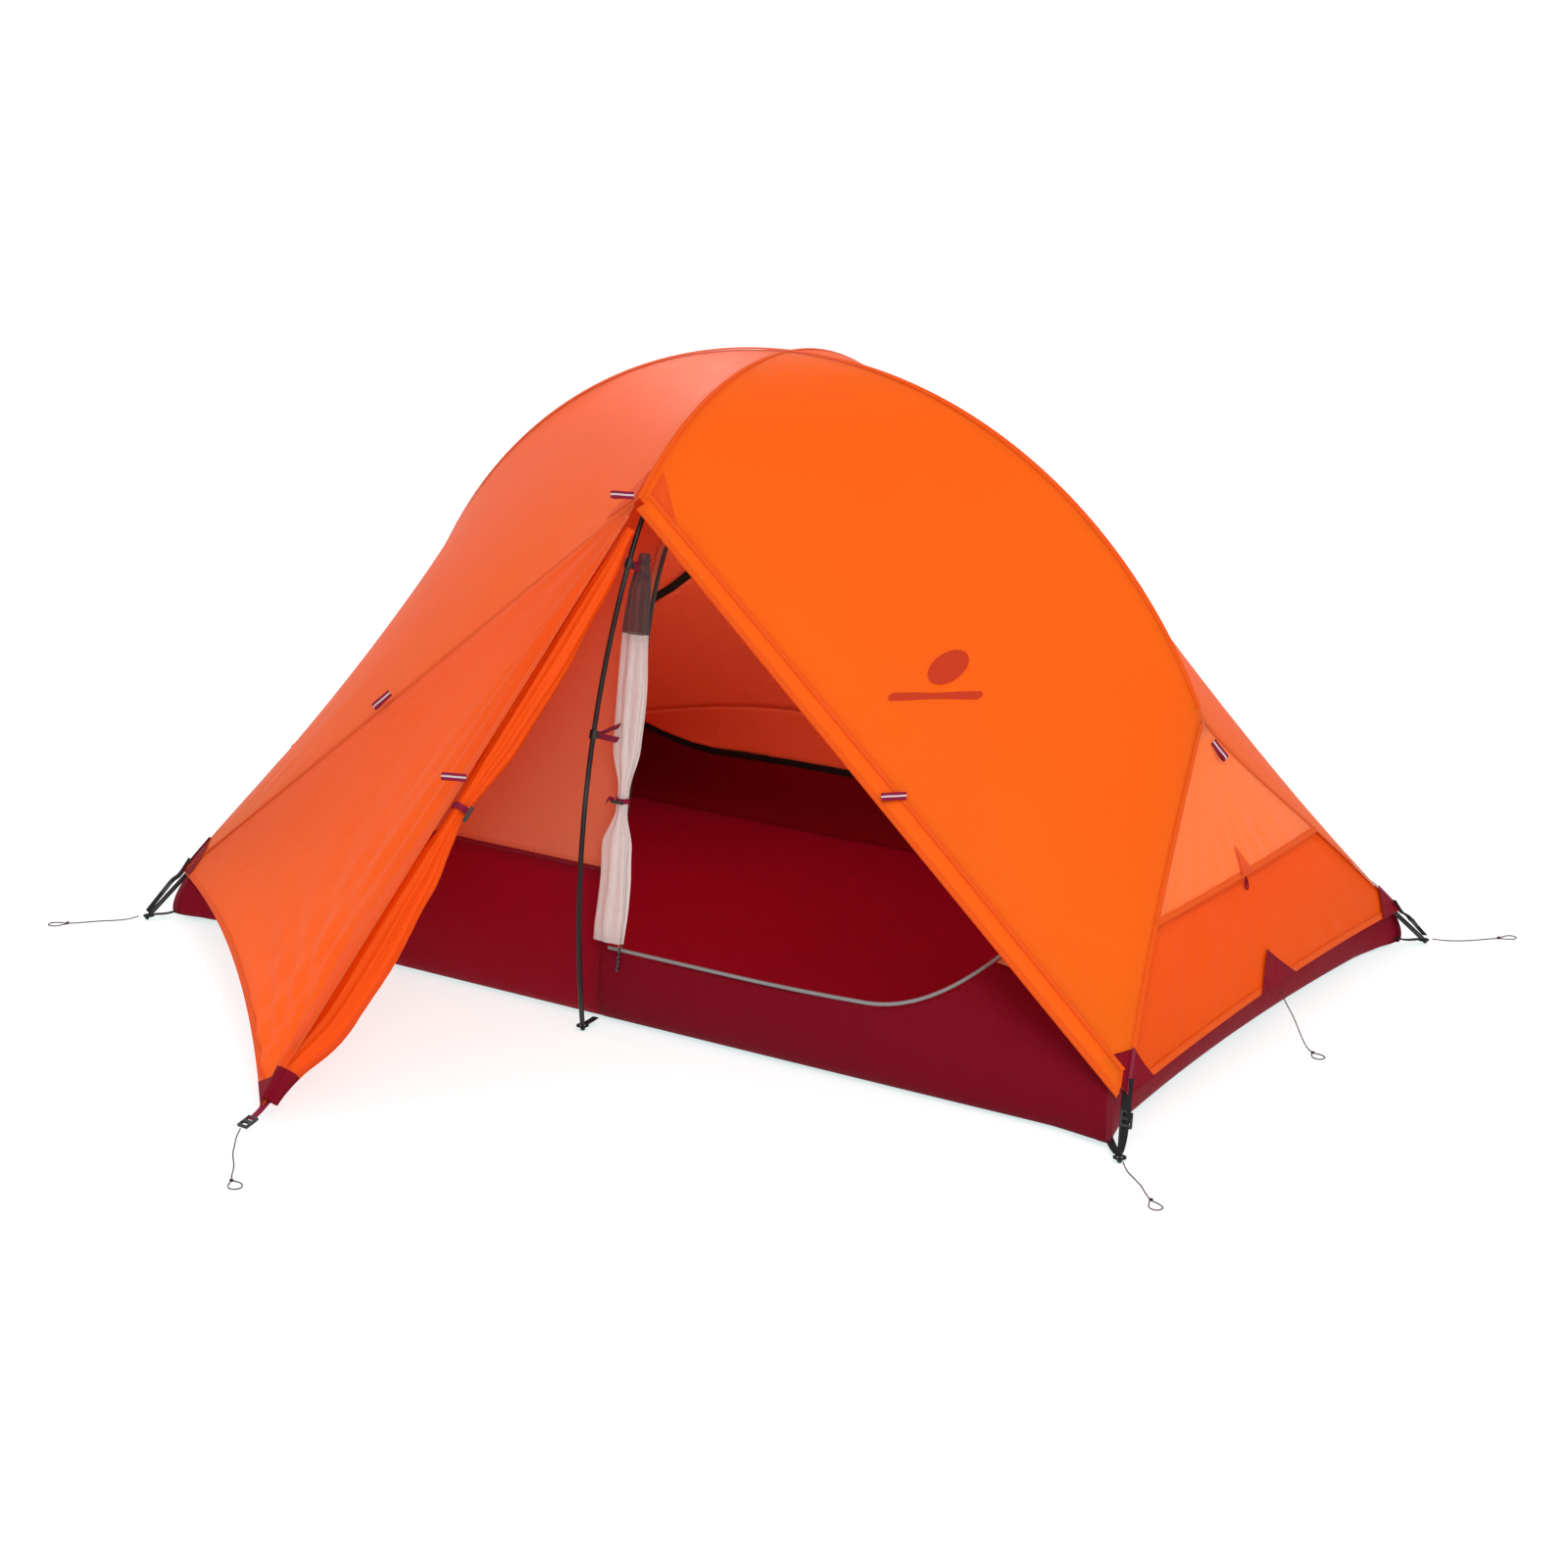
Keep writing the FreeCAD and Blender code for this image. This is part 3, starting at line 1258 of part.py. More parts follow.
TOGGLE_LENGTH = 26
tie_z = 424
tie_y = TUB_MIDDLE.y + 0.2 * (tie_z - TUB_MIDDLE.z)
tie_centre = Vector(BUNDLE_X, tie_y - 16, tie_z)
tie_ring = Part.makeCylinder(13, 10, tie_centre - Vector(0, 0, 5)).cut(
    Part.makeCylinder(11, 10, tie_centre - Vector(0, 0, 5)))
tie_toggle = Part.makeCylinder(3.2, TOGGLE_LENGTH, tie_centre + Vector(-TOGGLE_LENGTH / 2, -16.6, 0),
                               Vector(1, 0, 0))
roll_at = steps(0.07, 0.965, len(ROLL_RADII))[3]
roll_middle = roll_centre(roll_at)
roll_ring = Part.makeCylinder(19.5, 12, roll_middle - ROLL_LINE * 6, ROLL_LINE).cut(
    Part.makeCylinder(17.5, 12, roll_middle - ROLL_LINE * 6, ROLL_LINE))
roll_toggle = Part.makeCylinder(3.6, 30, roll_middle + ROLL_ACROSS * 23.5 - ROLL_LINE * 15, ROLL_LINE)
shaped("door_ties", Part.makeCompound([tie_ring, roll_ring]))
shaped("tie_toggles", Part.makeCompound([tie_toggle, roll_toggle]))

# ---------------------------------------------------------------- guy cords

CORD_RADIUS = size("cord_width") / 2
GROUND = CORD_RADIUS + 0.1


def corner_angle(a, b, c):
    return (b - a).getAngle(c - b)


def cord_tube(name, points):
    """Tube along straight runs joined by tangent arcs, each arc as large as its two runs allow."""
    edges = []
    radii = []
    start = points[0]
    for a, b, c in zip(points, points[1:], points[2:]):
        turn = corner_angle(a, b, c)
        shorter = min((b - a).Length, (c - b).Length)
        radius = 0.45 * shorter / math.tan(turn / 2)
        radii.append(radius)
        back = 0.45 * shorter
        enter = b + unit(a - b) * back
        leave = b + unit(c - b) * back
        towards = unit(unit(a - b) + unit(c - b))
        middle = b + towards * (radius / math.cos(turn / 2) - radius)
        edges.append(Part.makeLine(start, enter))
        edges.append(Part.Arc(enter, middle, leave).toShape())
        start = leave
    edges.append(Part.makeLine(start, points[-1]))
    wire = Part.Wire(edges)
    profile = Part.Wire([Part.makeCircle(CORD_RADIUS, points[0], points[1] - points[0])])
    tube = wire.makePipeShell([profile], True, True)
    ideal = math.pi * CORD_RADIUS**2 * wire.Length
    print(name, "length", round(wire.Length, 1), "least radius", round(min(radii), 1),
          "volume ratio", round(tube.Volume / ideal, 4))
    return tube


# Each route starts at its buckle or loop, comes down to the ground, goes round the stake's place
# and ends back at its own knot. Their points are the ones that the cord is pulled towards.
CORNER_ROUTE = [
    (1128.5, -685.5, 8.6),
    (1141.0, -701.0, 3.6),
    (1163.0, -718.0, 1.6),
    (1190.0, -740.5, 1.3),
    (1213.0, -768.0, 1.2),
    (1231.0, -786.0, 1.2),
    (1248.0, -790.5, 1.2),
    (1263.0, -801.0, 1.2),
    (1257.5, -817.5, 1.2),
    (1240.5, -814.5, 1.2),
    (1233.0, -797.5, 1.2),
    (1229.0, -785.5, 1.2),
]
STAKE_ROUTE = [
    (-184.5, -1410.4, 11.4),
    (-180.0, -1426.0, 4.6),
    (-163.0, -1448.0, 1.7),
    (-137.0, -1483.0, 1.3),
    (-101.0, -1517.0, 1.2),
    (-76.0, -1551.0, 1.2),
    (-61.5, -1567.0, 1.2),
    (-55.5, -1583.5, 1.2),
    (-40.5, -1594.0, 1.2),
    (-27.5, -1581.0, 1.2),
    (-36.5, -1566.5, 1.2),
    (-51.5, -1562.0, 1.2),
    (-63.0, -1565.5, 1.2),
]
MIDDLE_ROUTE = [
    (1098.0, 0.4, 100.5),
    (1110.0, -1.0, 80.0),
    (1131.0, -5.5, 55.0),
    (1150.0, -15.0, 28.0),
    (1165.0, -20.0, 8.0),
    (1180.0, -24.5, 1.3),
    (1195.5, -22.0, 1.2),
    (1210.0, -31.5, 1.2),
    (1206.0, -47.0, 1.2),
    (1190.0, -46.5, 1.2),
    (1181.5, -34.0, 1.2),
    (1179.0, -24.0, 1.2),
]
cords = []
knots = []
for name, route, knot_index in (
    ("corner", CORNER_ROUTE, 5),
    ("stake", STAKE_ROUTE, 6),
    ("middle", MIDDLE_ROUTE, 5),
):
    points = [Vector(*point) for point in route]
    cords.append((name, cord_tube(name, points)))
    lift = Vector(0, 0, size("knot_width") / 2 - GROUND)
    knots.append((name, Part.makeSphere(size("knot_width") / 2, points[knot_index] + lift)))
cord_shapes = dict(cords)
knot_shapes = dict(knots)
for quarter, moved in quarters:
    shaped("guy_cord_%s" % quarter, moved(cord_shapes["corner"]))
for kind in ("stake", "middle"):
    words = ("near", "far") if kind == "stake" else ("right_end", "left_end")
    prefix = "guy_cord_vestibule" if kind == "stake" else "guy_cord"
    shaped("%s_%s" % (prefix, words[0]), cord_shapes[kind])
    shaped("%s_%s" % (prefix, words[1]), turned(cord_shapes[kind]))
all_knots = [moved(knot_shapes["corner"]) for quarter, moved in quarters]
for kind in ("stake", "middle"):
    all_knots += [knot_shapes[kind], turned(knot_shapes[kind])]
shaped("cord_knots", Part.makeCompound(all_knots))

# ---------------------------------------------------------------- check and write

doc.recompute()
faults = []
for item in doc.Objects:
    if "Invalid" in item.State or "Error" in item.State:
        faults.append("%s: %s" % (item.Name, item.State))
for item in parts:
    if item.Shape.isNull() or not item.Shape.isValid():
        faults.append("%s: bad shape" % item.Label)
    if not item.Shape.Solids or item.Shape.Volume <= 0:
        faults.append("%s: no volume" % item.Label)
if faults:
    raise RuntimeError("; ".join(faults))
for item in parts:
    item.Shape.exportStep("parts/%s.step" % item.Label)
for name, (travel, pin_point, pin_axis) in zip_joints.items():
    print(name, "travel", travel, "pin", pin_point, "axis", pin_axis)
print("zip length", round(ZIP_LENGTH, 1), "sill length", round(SILL_LENGTH, 1))
print(len(parts), "sub-parts written")
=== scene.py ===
"""Looks of a pitched double-wall tent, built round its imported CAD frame.

Metres, +X along the ridge, -Y towards the open door, +Z up, the origin on the ground under the floor.
"""
import math

import bmesh
import bpy
from mathutils import Matrix, Vector, noise
from mathutils.bvhtree import BVHTree


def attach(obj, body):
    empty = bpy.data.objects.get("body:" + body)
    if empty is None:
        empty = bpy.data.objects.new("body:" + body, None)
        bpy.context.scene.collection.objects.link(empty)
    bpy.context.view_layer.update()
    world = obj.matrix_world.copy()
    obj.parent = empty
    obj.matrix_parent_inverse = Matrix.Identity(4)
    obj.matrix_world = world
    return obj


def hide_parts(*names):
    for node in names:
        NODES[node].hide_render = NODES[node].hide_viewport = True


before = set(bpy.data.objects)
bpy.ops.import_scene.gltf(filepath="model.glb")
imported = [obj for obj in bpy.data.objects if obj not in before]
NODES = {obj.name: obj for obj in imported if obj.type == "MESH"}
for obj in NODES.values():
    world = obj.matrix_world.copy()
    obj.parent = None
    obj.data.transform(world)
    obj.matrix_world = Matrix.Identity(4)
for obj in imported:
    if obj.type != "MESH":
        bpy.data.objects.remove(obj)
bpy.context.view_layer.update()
SCENE = bpy.context.scene
UP = Vector((0, 0, 1))
BODY = "tent"

# ---------------------------------------------------------------- camera


def make_camera():
    data = bpy.data.cameras.new("camera")
    data.lens = 71.55
    camera = bpy.data.objects.new("camera", data)
    SCENE.collection.objects.link(camera)
    camera.location = (3.2725, -5.0519, 2.0856)
    target = Vector((0.2529, -0.3880, 0.45))
    look = (target - camera.location).to_track_quat("-Z", "Y").to_matrix()
    roll = Matrix.Rotation(math.radians(0.48), 3, "Z")
    camera.rotation_euler = (look @ roll).to_euler()
    SCENE.camera = camera


make_camera()

# ---------------------------------------------------------------- materials


def node(tree, kind, sockets=None, **settings):
    """A shader node with its settings made, and its sockets set or linked."""
    made = tree.nodes.new("ShaderNode" + kind)
    for key, value in settings.items():
        setattr(made, key, value)
    for key, value in (sockets or {}).items():
        if isinstance(value, bpy.types.Node):
            value = value.outputs[0]
        if isinstance(value, bpy.types.NodeSocket):
            tree.links.new(value, made.inputs[key])
        else:
            made.inputs[key].default_value = value
    return made


def math_node(tree, operation, first, second=0.0, clamp=False):
    made = node(tree, "Math", {0: first, 1: second}, operation=operation, use_clamp=clamp)
    return made.outputs[0]


def times(tree, first, second):
    return math_node(tree, "MULTIPLY", first, second)


def plus(tree, first, second, clamp=False):
    return math_node(tree, "ADD", first, second, clamp)


def material_of(shader_of):
    """Turns a function that returns a shader into one that returns a named material."""
    def make(name, *colours, **settings):
        material = bpy.data.materials.new(name)
        material.use_nodes = True
        tree = material.node_tree
        tree.nodes.clear()
        node(tree, "OutputMaterial", {"Surface": shader_of(tree, *colours, **settings)})
        return material
    return make


def mix_colour(tree, amount, first, second):
    """The first colour where amount is 0, the second where it is 1."""
    sockets = {0: amount}
    for socket, value in ((6, first), (7, second)):
        sockets[socket] = value if isinstance(value, bpy.types.NodeSocket) else (*value, 1)
    return node(tree, "Mix", sockets, data_type="RGBA").outputs[2]


def cloth_place(tree):
    """The place on the flat cloth, in metres: as a vector, then its two parts."""
    uv = node(tree, "UVMap", uv_map="cloth").outputs["UV"]
    parts = node(tree, "SeparateXYZ", {"Vector": uv})
    return uv, parts.outputs["X"], parts.outputs["Y"]


def noise_at(tree, vector, scale, detail, **sockets):
    sockets = {key.title(): value for key, value in sockets.items()}
    made = node(tree, "TexNoise", {"Vector": vector, "Scale": scale, "Detail": detail, **sockets})
    return made.outputs["Fac"]


def noise_along(tree, distance, per_metre):
    made = node(tree, "TexNoise", {"W": times(tree, distance, per_metre)}, noise_dimensions="1D")
    return made.outputs["Fac"]


def bumped(tree, height, strength, distance=1.0):
    return node(tree, "Bump", {"Strength": strength, "Distance": distance, "Height": height}).outputs[0]


def tinted(colour, share):
    return tuple(channel * share for channel in colour)


# sizes of the cloths' details, in metres, and the wave texture's scale for one band a metre
WAVE_SCALE = 0.31416
WEAVE_PITCH = 0.0006
PUCKERS_PER_METRE = 85.0
PUCKER_REACH = 0.05
HEM_REACH = 0.014
NET_PITCH = 0.0018
RIB_PITCH = 0.0014
STRIPE_HALF = 0.0015
STITCH_ROW = 0.0034
STITCH_HALF = 0.00055
STITCH_PITCH = 0.0032
COIL_HALF = 0.0024
CORD_WIDTH = 0.0022


def threads(tree, vector, pitch, direction):
    """Bands across one direction, one every pitch metres, from 0 to 1."""
    wave = node(tree, "TexWave", {"Vector": vector, "Scale": WAVE_SCALE / pitch},
                wave_type="BANDS", bands_direction=direction)
    return wave.outputs["Fac"]


def fall(tree, distance, reach):
    """1 at distance 0, fading to 0 at reach."""
    share = math_node(tree, "DIVIDE", distance, reach)
    return math_node(tree, "SUBTRACT", 1.0, share, clamp=True)


def seam_distances(tree):
    edge = node(tree, "Attribute", attribute_name="edge")
    parts = node(tree, "SeparateXYZ", {"Vector": edge.outputs["Vector"]})
    return parts.outputs["X"], parts.outputs["Y"]


@material_of
def cloth_material(tree, colour, shade, through, rough=0.5, glow=0.3, cell=0.0055, crinkle=0.0012,
                   pucker=0.0016, sheen=0.25, gloss=0.35):
    """Thin ripstop cloth: a grid of thicker threads, crinkles, puckered edges and light through it."""
    uv, across, along = cloth_place(tree)
    side, end = seam_distances(tree)
    grid = math_node(tree, "MAXIMUM",
                     math_node(tree, "POWER", threads(tree, uv, cell, "X"), 14.0),
                     math_node(tree, "POWER", threads(tree, uv, cell, "Y"), 14.0))
    weave = times(tree, threads(tree, uv, WEAVE_PITCH, "X"), threads(tree, uv, WEAVE_PITCH, "Y"))
    broad = noise_at(tree, uv, 3.0, 3.0, roughness=0.55)
    fine = noise_at(tree, uv, 26.0, 4.0, distortion=0.6)
    side_pucker = times(tree, noise_along(tree, along, PUCKERS_PER_METRE), fall(tree, side, PUCKER_REACH))
    end_pucker = times(tree, noise_along(tree, across, PUCKERS_PER_METRE), fall(tree, end, PUCKER_REACH))
    height = plus(tree, times(tree, plus(tree, side_pucker, end_pucker), pucker), times(tree, fine, crinkle))
    height = plus(tree, height, times(tree, grid, 0.00009))
    bump = bumped(tree, plus(tree, height, times(tree, weave, 0.00003)), 0.8)
    near = math_node(tree, "MAXIMUM", fall(tree, side, HEM_REACH), fall(tree, end, HEM_REACH))
    doubled = math_node(tree, "GREATER_THAN", near, 0.15)
    tone = plus(tree, times(tree, broad, 0.35), times(tree, grid, 0.22))
    tone = plus(tree, tone, times(tree, doubled, 0.3), clamp=True)
    skin = mix_colour(tree, tone, colour, shade)
    inner = mix_colour(tree, times(tree, tone, 0.8), through, shade)
    roughness = node(tree, "MapRange", {"Value": fine, "To Min": rough - 0.06, "To Max": rough + 0.08})
    surface = node(tree, "BsdfPrincipled",
                   {"Base Color": skin, "Roughness": roughness, "Normal": bump,
                    "Sheen Weight": sheen, "Sheen Roughness": 0.4, "Specular IOR Level": gloss})
    behind = node(tree, "BsdfTranslucent", {"Color": inner, "Normal": bump})
    return node(tree, "MixShader", {0: glow, 1: surface, 2: behind})


@material_of
def net_material(tree, colour):
    """Knitted netting: holes in rows, seen through."""
    uv = cloth_place(tree)[0]
    cells = node(tree, "TexVoronoi", {"Vector": uv, "Scale": 1 / NET_PITCH, "Randomness": 0.25})
    hole = math_node(tree, "LESS_THAN", cells.outputs["Distance"], 0.36)
    skin = mix_colour(tree, noise_at(tree, uv, 30.0, 2.0), colour, tinted(colour, 1.7))
    knit = node(tree, "BsdfPrincipled", {"Base Color": skin, "Roughness": 0.7, "Sheen Weight": 0.3})
    return node(tree, "MixShader", {0: hole, 1: knit, 2: node(tree, "BsdfTransparent")})


@material_of
def webbing_material(tree, colour, stripe=None):
    """Woven tape: ribs across it and, where asked for, a light stripe down its middle."""
    uv, _, off = cloth_place(tree)
    ribs = threads(tree, uv, RIB_PITCH, "X")
    warp = threads(tree, uv, 0.0011, "Y")
    fuzz = noise_at(tree, uv, 700.0, 3.0)
    height = plus(tree, times(tree, ribs, 0.0002), times(tree, warp, 0.00012))
    bump = bumped(tree, plus(tree, height, times(tree, fuzz, 0.0001)), 0.7)
    skin = mix_colour(tree, times(tree, ribs, fuzz), colour, tinted(colour, 0.55))
    if stripe:
        inside = math_node(tree, "LESS_THAN", math_node(tree, "ABSOLUTE", off), STRIPE_HALF)
        skin = mix_colour(tree, inside, skin, stripe)
    return node(tree, "BsdfPrincipled",
                {"Base Color": skin, "Roughness": 0.7, "Specular IOR Level": 0.15, "Sheen Weight": 0.04,
                 "Normal": bump})


@material_of
def seam_material(tree, colour, thread, glow):
    """Flat-felled seam: folded cloth with two rows of stitches."""
    uv, along, off = cloth_place(tree)
    row = math_node(tree, "SUBTRACT", math_node(tree, "ABSOLUTE", off), STITCH_ROW)
    on_row = math_node(tree, "LESS_THAN", math_node(tree, "ABSOLUTE", row), STITCH_HALF)
    thread_on = math_node(tree, "GREATER_THAN", threads(tree, uv, STITCH_PITCH, "X"), 0.35)
    stitch = times(tree, on_row, thread_on)
    pinch = noise_along(tree, along, 120.0)
    bump = bumped(tree, plus(tree, times(tree, stitch, 0.0003), times(tree, pinch, 0.0012)), 0.7)
    skin = mix_colour(tree, times(tree, pinch, 0.5), colour, tinted(colour, 0.75))
    skin = mix_colour(tree, stitch, skin, thread)
    shader = node(tree, "BsdfPrincipled",
                  {"Base Color": skin, "Roughness": 0.55, "Specular IOR Level": 0.15, "Normal": bump})
    behind = node(tree, "BsdfTranslucent", {"Color": skin, "Normal": bump})
    return node(tree, "MixShader", {0: glow, 1: shader, 2: behind})


@material_of
def zip_material(tree, tape, tooth):
    """Coil zip: fine teeth down the middle of a woven tape, with painted shade in the gaps between them."""
    uv, _, off = cloth_place(tree)
    middle = math_node(tree, "LESS_THAN", math_node(tree, "ABSOLUTE", off), COIL_HALF)
    teeth = threads(tree, uv, RIB_PITCH, "X")
    weave = threads(tree, uv, 0.0007, "Y")
    coil_height = times(tree, times(tree, teeth, middle), 0.0006)
    bump = bumped(tree, plus(tree, coil_height, times(tree, weave, 0.00008)), 0.8)
    # painted shade: the gaps between the coil's teeth are darkened to 0.4 of the tooth colour
    skin = mix_colour(tree, middle, tape, mix_colour(tree, teeth, tinted(tooth, 0.4), tooth))
    return node(tree, "BsdfPrincipled",
                {"Base Color": skin, "Roughness": 0.5, "Normal": bump, "Sheen Weight": 0.15})


@material_of
def solid_material(tree, colour, worn, rough, metal=0.0, stretch=(1, 1, 1), gloss=0.5):
    """Moulded or drawn part: fine grain, uneven sheen and edges worn lighter."""
    spot = node(tree, "TexCoord").outputs["Object"]
    mapped = node(tree, "Mapping", {"Vector": spot, "Scale": stretch}).outputs[0]
    fine = noise_at(tree, mapped, 720.0, 3.0)
    broad = noise_at(tree, mapped, 24.0, 4.0)
    corner = node(tree, "NewGeometry").outputs["Pointiness"]
    edge = node(tree, "MapRange", {"Value": corner, "From Min": 0.52, "From Max": 0.6})
    scuff = times(tree, edge.outputs[0], broad)
    tone = plus(tree, times(tree, scuff, 0.9), times(tree, fine, 0.12), clamp=True)
    roughness = node(tree, "MapRange", {"Value": broad, "To Min": rough - 0.1, "To Max": rough + 0.1})
    return node(tree, "BsdfPrincipled", {
        "Base Color": mix_colour(tree, tone, colour, worn), "Roughness": roughness, "Metallic": metal,
        "Specular IOR Level": gloss, "Normal": bumped(tree, fine, 0.4, 0.0002)})


@material_of
def cord_material(tree, colour, fleck):
    """Braided cord: crossing strands with flecks of a second colour."""
    spot = node(tree, "TexCoord").outputs["Object"]
    strand = node(tree, "TexWave", {"Vector": spot, "Scale": WAVE_SCALE / CORD_WIDTH, "Distortion": 1.5},
                  wave_type="BANDS", bands_direction="DIAGONAL").outputs["Fac"]
    flecks = node(tree, "TexVoronoi", {"Vector": spot, "Scale": 190.0})
    picked = math_node(tree, "GREATER_THAN", flecks.outputs["Distance"], 0.55)
    skin = mix_colour(tree, picked, colour, fleck)
    skin = mix_colour(tree, times(tree, strand, 0.5), skin, (0.02, 0.01, 0.01))
    return node(tree, "BsdfPrincipled", {"Base Color": skin, "Roughness": 0.75, "Specular IOR Level": 0.15,
                                         "Normal": bumped(tree, strand, 0.8, 0.0006)})


CRANBERRY = (0.235, 0.002, 0.014)
MATERIALS = {
    "fly": cloth_material(
        "fly_ripstop", (1.0, 0.165, 0.003), (0.92, 0.105, 0.002), (1.0, 0.18, 0.002),
        glow=0.42, rough=0.46, sheen=0.02, gloss=0.12),
    # painted reflection: a paler, glossier copy of the fly cloth, used for the left roof quarters
    "fly_painted_reflection": cloth_material(
        "fly_ripstop_painted_reflection", (1.0, 0.155, 0.006), (0.92, 0.10, 0.003), (1.0, 0.18, 0.005),
        glow=0.45, rough=0.45, sheen=0.04, gloss=0.22),
    # painted light and painted shade: the awnings take a lighter copy of the fly cloth, the lower end panels
    # below them a darker one
    "fly_lit": cloth_material(
        "fly_ripstop_lit", (1.0, 0.19, 0.016), (0.98, 0.15, 0.010), (1.0, 0.22, 0.03),
        glow=0.30, rough=0.42, crinkle=0.003, pucker=0.003, sheen=0.10, gloss=0.35),
    "fly_painted_shade": cloth_material(
        "fly_ripstop_painted_shade", (0.93, 0.105, 0.002), (0.84, 0.078, 0.001), (1.0, 0.12, 0.001),
        glow=0.36, rough=0.5, crinkle=0.004, pucker=0.003, sheen=0.0, gloss=0.08),
    # crinkled copy of the fly cloth, its colours darkened as painted shade; used for the vestibules and the
    # fly doors
    "fly_crinkled_painted_shade": cloth_material(
        "fly_ripstop_crinkled_painted_shade", (0.96, 0.115, 0.003), (0.87, 0.085, 0.002), (1.0, 0.135, 0.002),
        glow=0.42, crinkle=0.004, pucker=0.003, sheen=0.02, gloss=0.14),
    "patch": cloth_material(
        "reinforcement", (0.78, 0.085, 0.006), (0.66, 0.06, 0.005), (0.7, 0.08, 0.004),
        glow=0.25, pucker=0.0, sheen=0.02, gloss=0.12),
    "mark": cloth_material(
        "printed_mark", (0.52, 0.035, 0.006), (0.46, 0.03, 0.006), (0.5, 0.04, 0.004),
        glow=0.2, pucker=0.0, sheen=0.02, gloss=0.12),
    "wall": cloth_material(
        "inner_ripstop", (0.83, 0.30, 0.17), (0.74, 0.22, 0.12), (1.0, 0.36, 0.15),
        glow=0.55, rough=0.6, sheen=0.05, gloss=0.15),
    "tub": cloth_material(
        "floor_taffeta", CRANBERRY, (0.16, 0.003, 0.012), (0.40, 0.004, 0.02),
        glow=0.22, rough=0.55, cell=0.0035, crinkle=0.0022, sheen=0.0, gloss=0.06),
    "white": cloth_material(
        "door_nylon", (0.80, 0.74, 0.72), (0.66, 0.58, 0.56), (0.9, 0.78, 0.72),
        glow=0.35, rough=0.5, crinkle=0.004, sheen=0.3),
    "net": net_material("door_net", (0.035, 0.02, 0.02)),
    "seam": seam_material("fly_seam", (0.93, 0.125, 0.004), (0.72, 0.08, 0.005), glow=0.38),
    "seam_red": seam_material("tub_seam", (0.17, 0.004, 0.014), (0.06, 0.004, 0.008), glow=0.05),
    "loop": webbing_material("loop_tape", (0.22, 0.004, 0.03), stripe=(0.52, 0.48, 0.50)),
    "red_tape": webbing_material("red_tape", (0.22, 0.004, 0.03)),
    "black_tape": webbing_material("black_tape", (0.010, 0.010, 0.011)),
    "sill_zip": zip_material("sill_zip", (0.10, 0.085, 0.085), (0.33, 0.32, 0.32)),
    "dark_zip": zip_material("dark_zip", (0.012, 0.01, 0.01), (0.05, 0.045, 0.045)),
    "orange_zip": zip_material("fly_zip", (0.72, 0.09, 0.01), (0.80, 0.14, 0.03)),
    "pole": solid_material("pole_tube", (0.008, 0.007, 0.007), (0.05, 0.05, 0.05), 0.38, gloss=0.25,
                           stretch=(1, 1, 0.15)),
    "ferrule": solid_material("ferrule", (0.10, 0.10, 0.11), (0.4, 0.4, 0.42), 0.3, metal=0.9),
    "plastic": solid_material("moulded_black", (0.007, 0.007, 0.007), (0.05, 0.05, 0.05), 0.5, gloss=0.25),
    "metal": solid_material("slider_metal", (0.32, 0.32, 0.34), (0.65, 0.65, 0.67), 0.3, metal=1.0),
    "elastic": cord_material("elastic", (0.04, 0.04, 0.04), (0.4, 0.4, 0.4)),
    "pull": cord_material("pull_cord", (0.02, 0.02, 0.022), (0.10, 0.10, 0.11)),
    "guy": cord_material("guy_line", (0.045, 0.005, 0.012), (0.15, 0.08, 0.09)),
}


def dress(thing, kind):
    """Material, slot and body for a new piece."""
    thing.data.materials.append(MATERIALS[kind])
    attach(thing, BODY)
    if thing.type == "MESH":
        thing.data.shade_smooth()
    return thing


# ---------------------------------------------------------------- guy cords

QUARTERS = (("near_right", 1, 1), ("near_left", -1, 1), ("far_right", 1, -1), ("far_left", -1, -1))
CORNER_ROUTE = [
    (1.1285, -0.6855, 0.0086), (1.1410, -0.7010, 0.0036), (1.1630, -0.7180, 0.0016),
    (1.1900, -0.7405, 0.0013), (1.2130, -0.7680, 0.0012), (1.2310, -0.7860, 0.0012),
    (1.2480, -0.7905, 0.0012), (1.2630, -0.8010, 0.0012), (1.2575, -0.8175, 0.0012),
    (1.2405, -0.8145, 0.0012), (1.2330, -0.7975, 0.0012), (1.2290, -0.7855, 0.0012),
]
STAKE_ROUTE = [
    (-0.1845, -1.4104, 0.0114), (-0.1800, -1.4260, 0.0046), (-0.1630, -1.4480, 0.0017),
    (-0.1370, -1.4830, 0.0013), (-0.1010, -1.5170, 0.0012), (-0.0760, -1.5510, 0.0012),
    (-0.0615, -1.5670, 0.0012), (-0.0555, -1.5835, 0.0012), (-0.0405, -1.5940, 0.0012),
    (-0.0275, -1.5810, 0.0012), (-0.0365, -1.5665, 0.0012), (-0.0515, -1.5620, 0.0012),
    (-0.0630, -1.5655, 0.0012),
]
MIDDLE_ROUTE = [
    (1.0980, 0.0004, 0.1005), (1.1100, -0.0010, 0.0800), (1.1310, -0.0055, 0.0550),
    (1.1500, -0.0150, 0.0280), (1.1650, -0.0200, 0.0080), (1.1800, -0.0245, 0.0013),
    (1.1955, -0.0220, 0.0012), (1.2100, -0.0315, 0.0012), (1.2060, -0.0470, 0.0012),
    (1.1900, -0.0465, 0.0012), (1.1815, -0.0340, 0.0012), (1.1790, -0.0240, 0.0012),
]


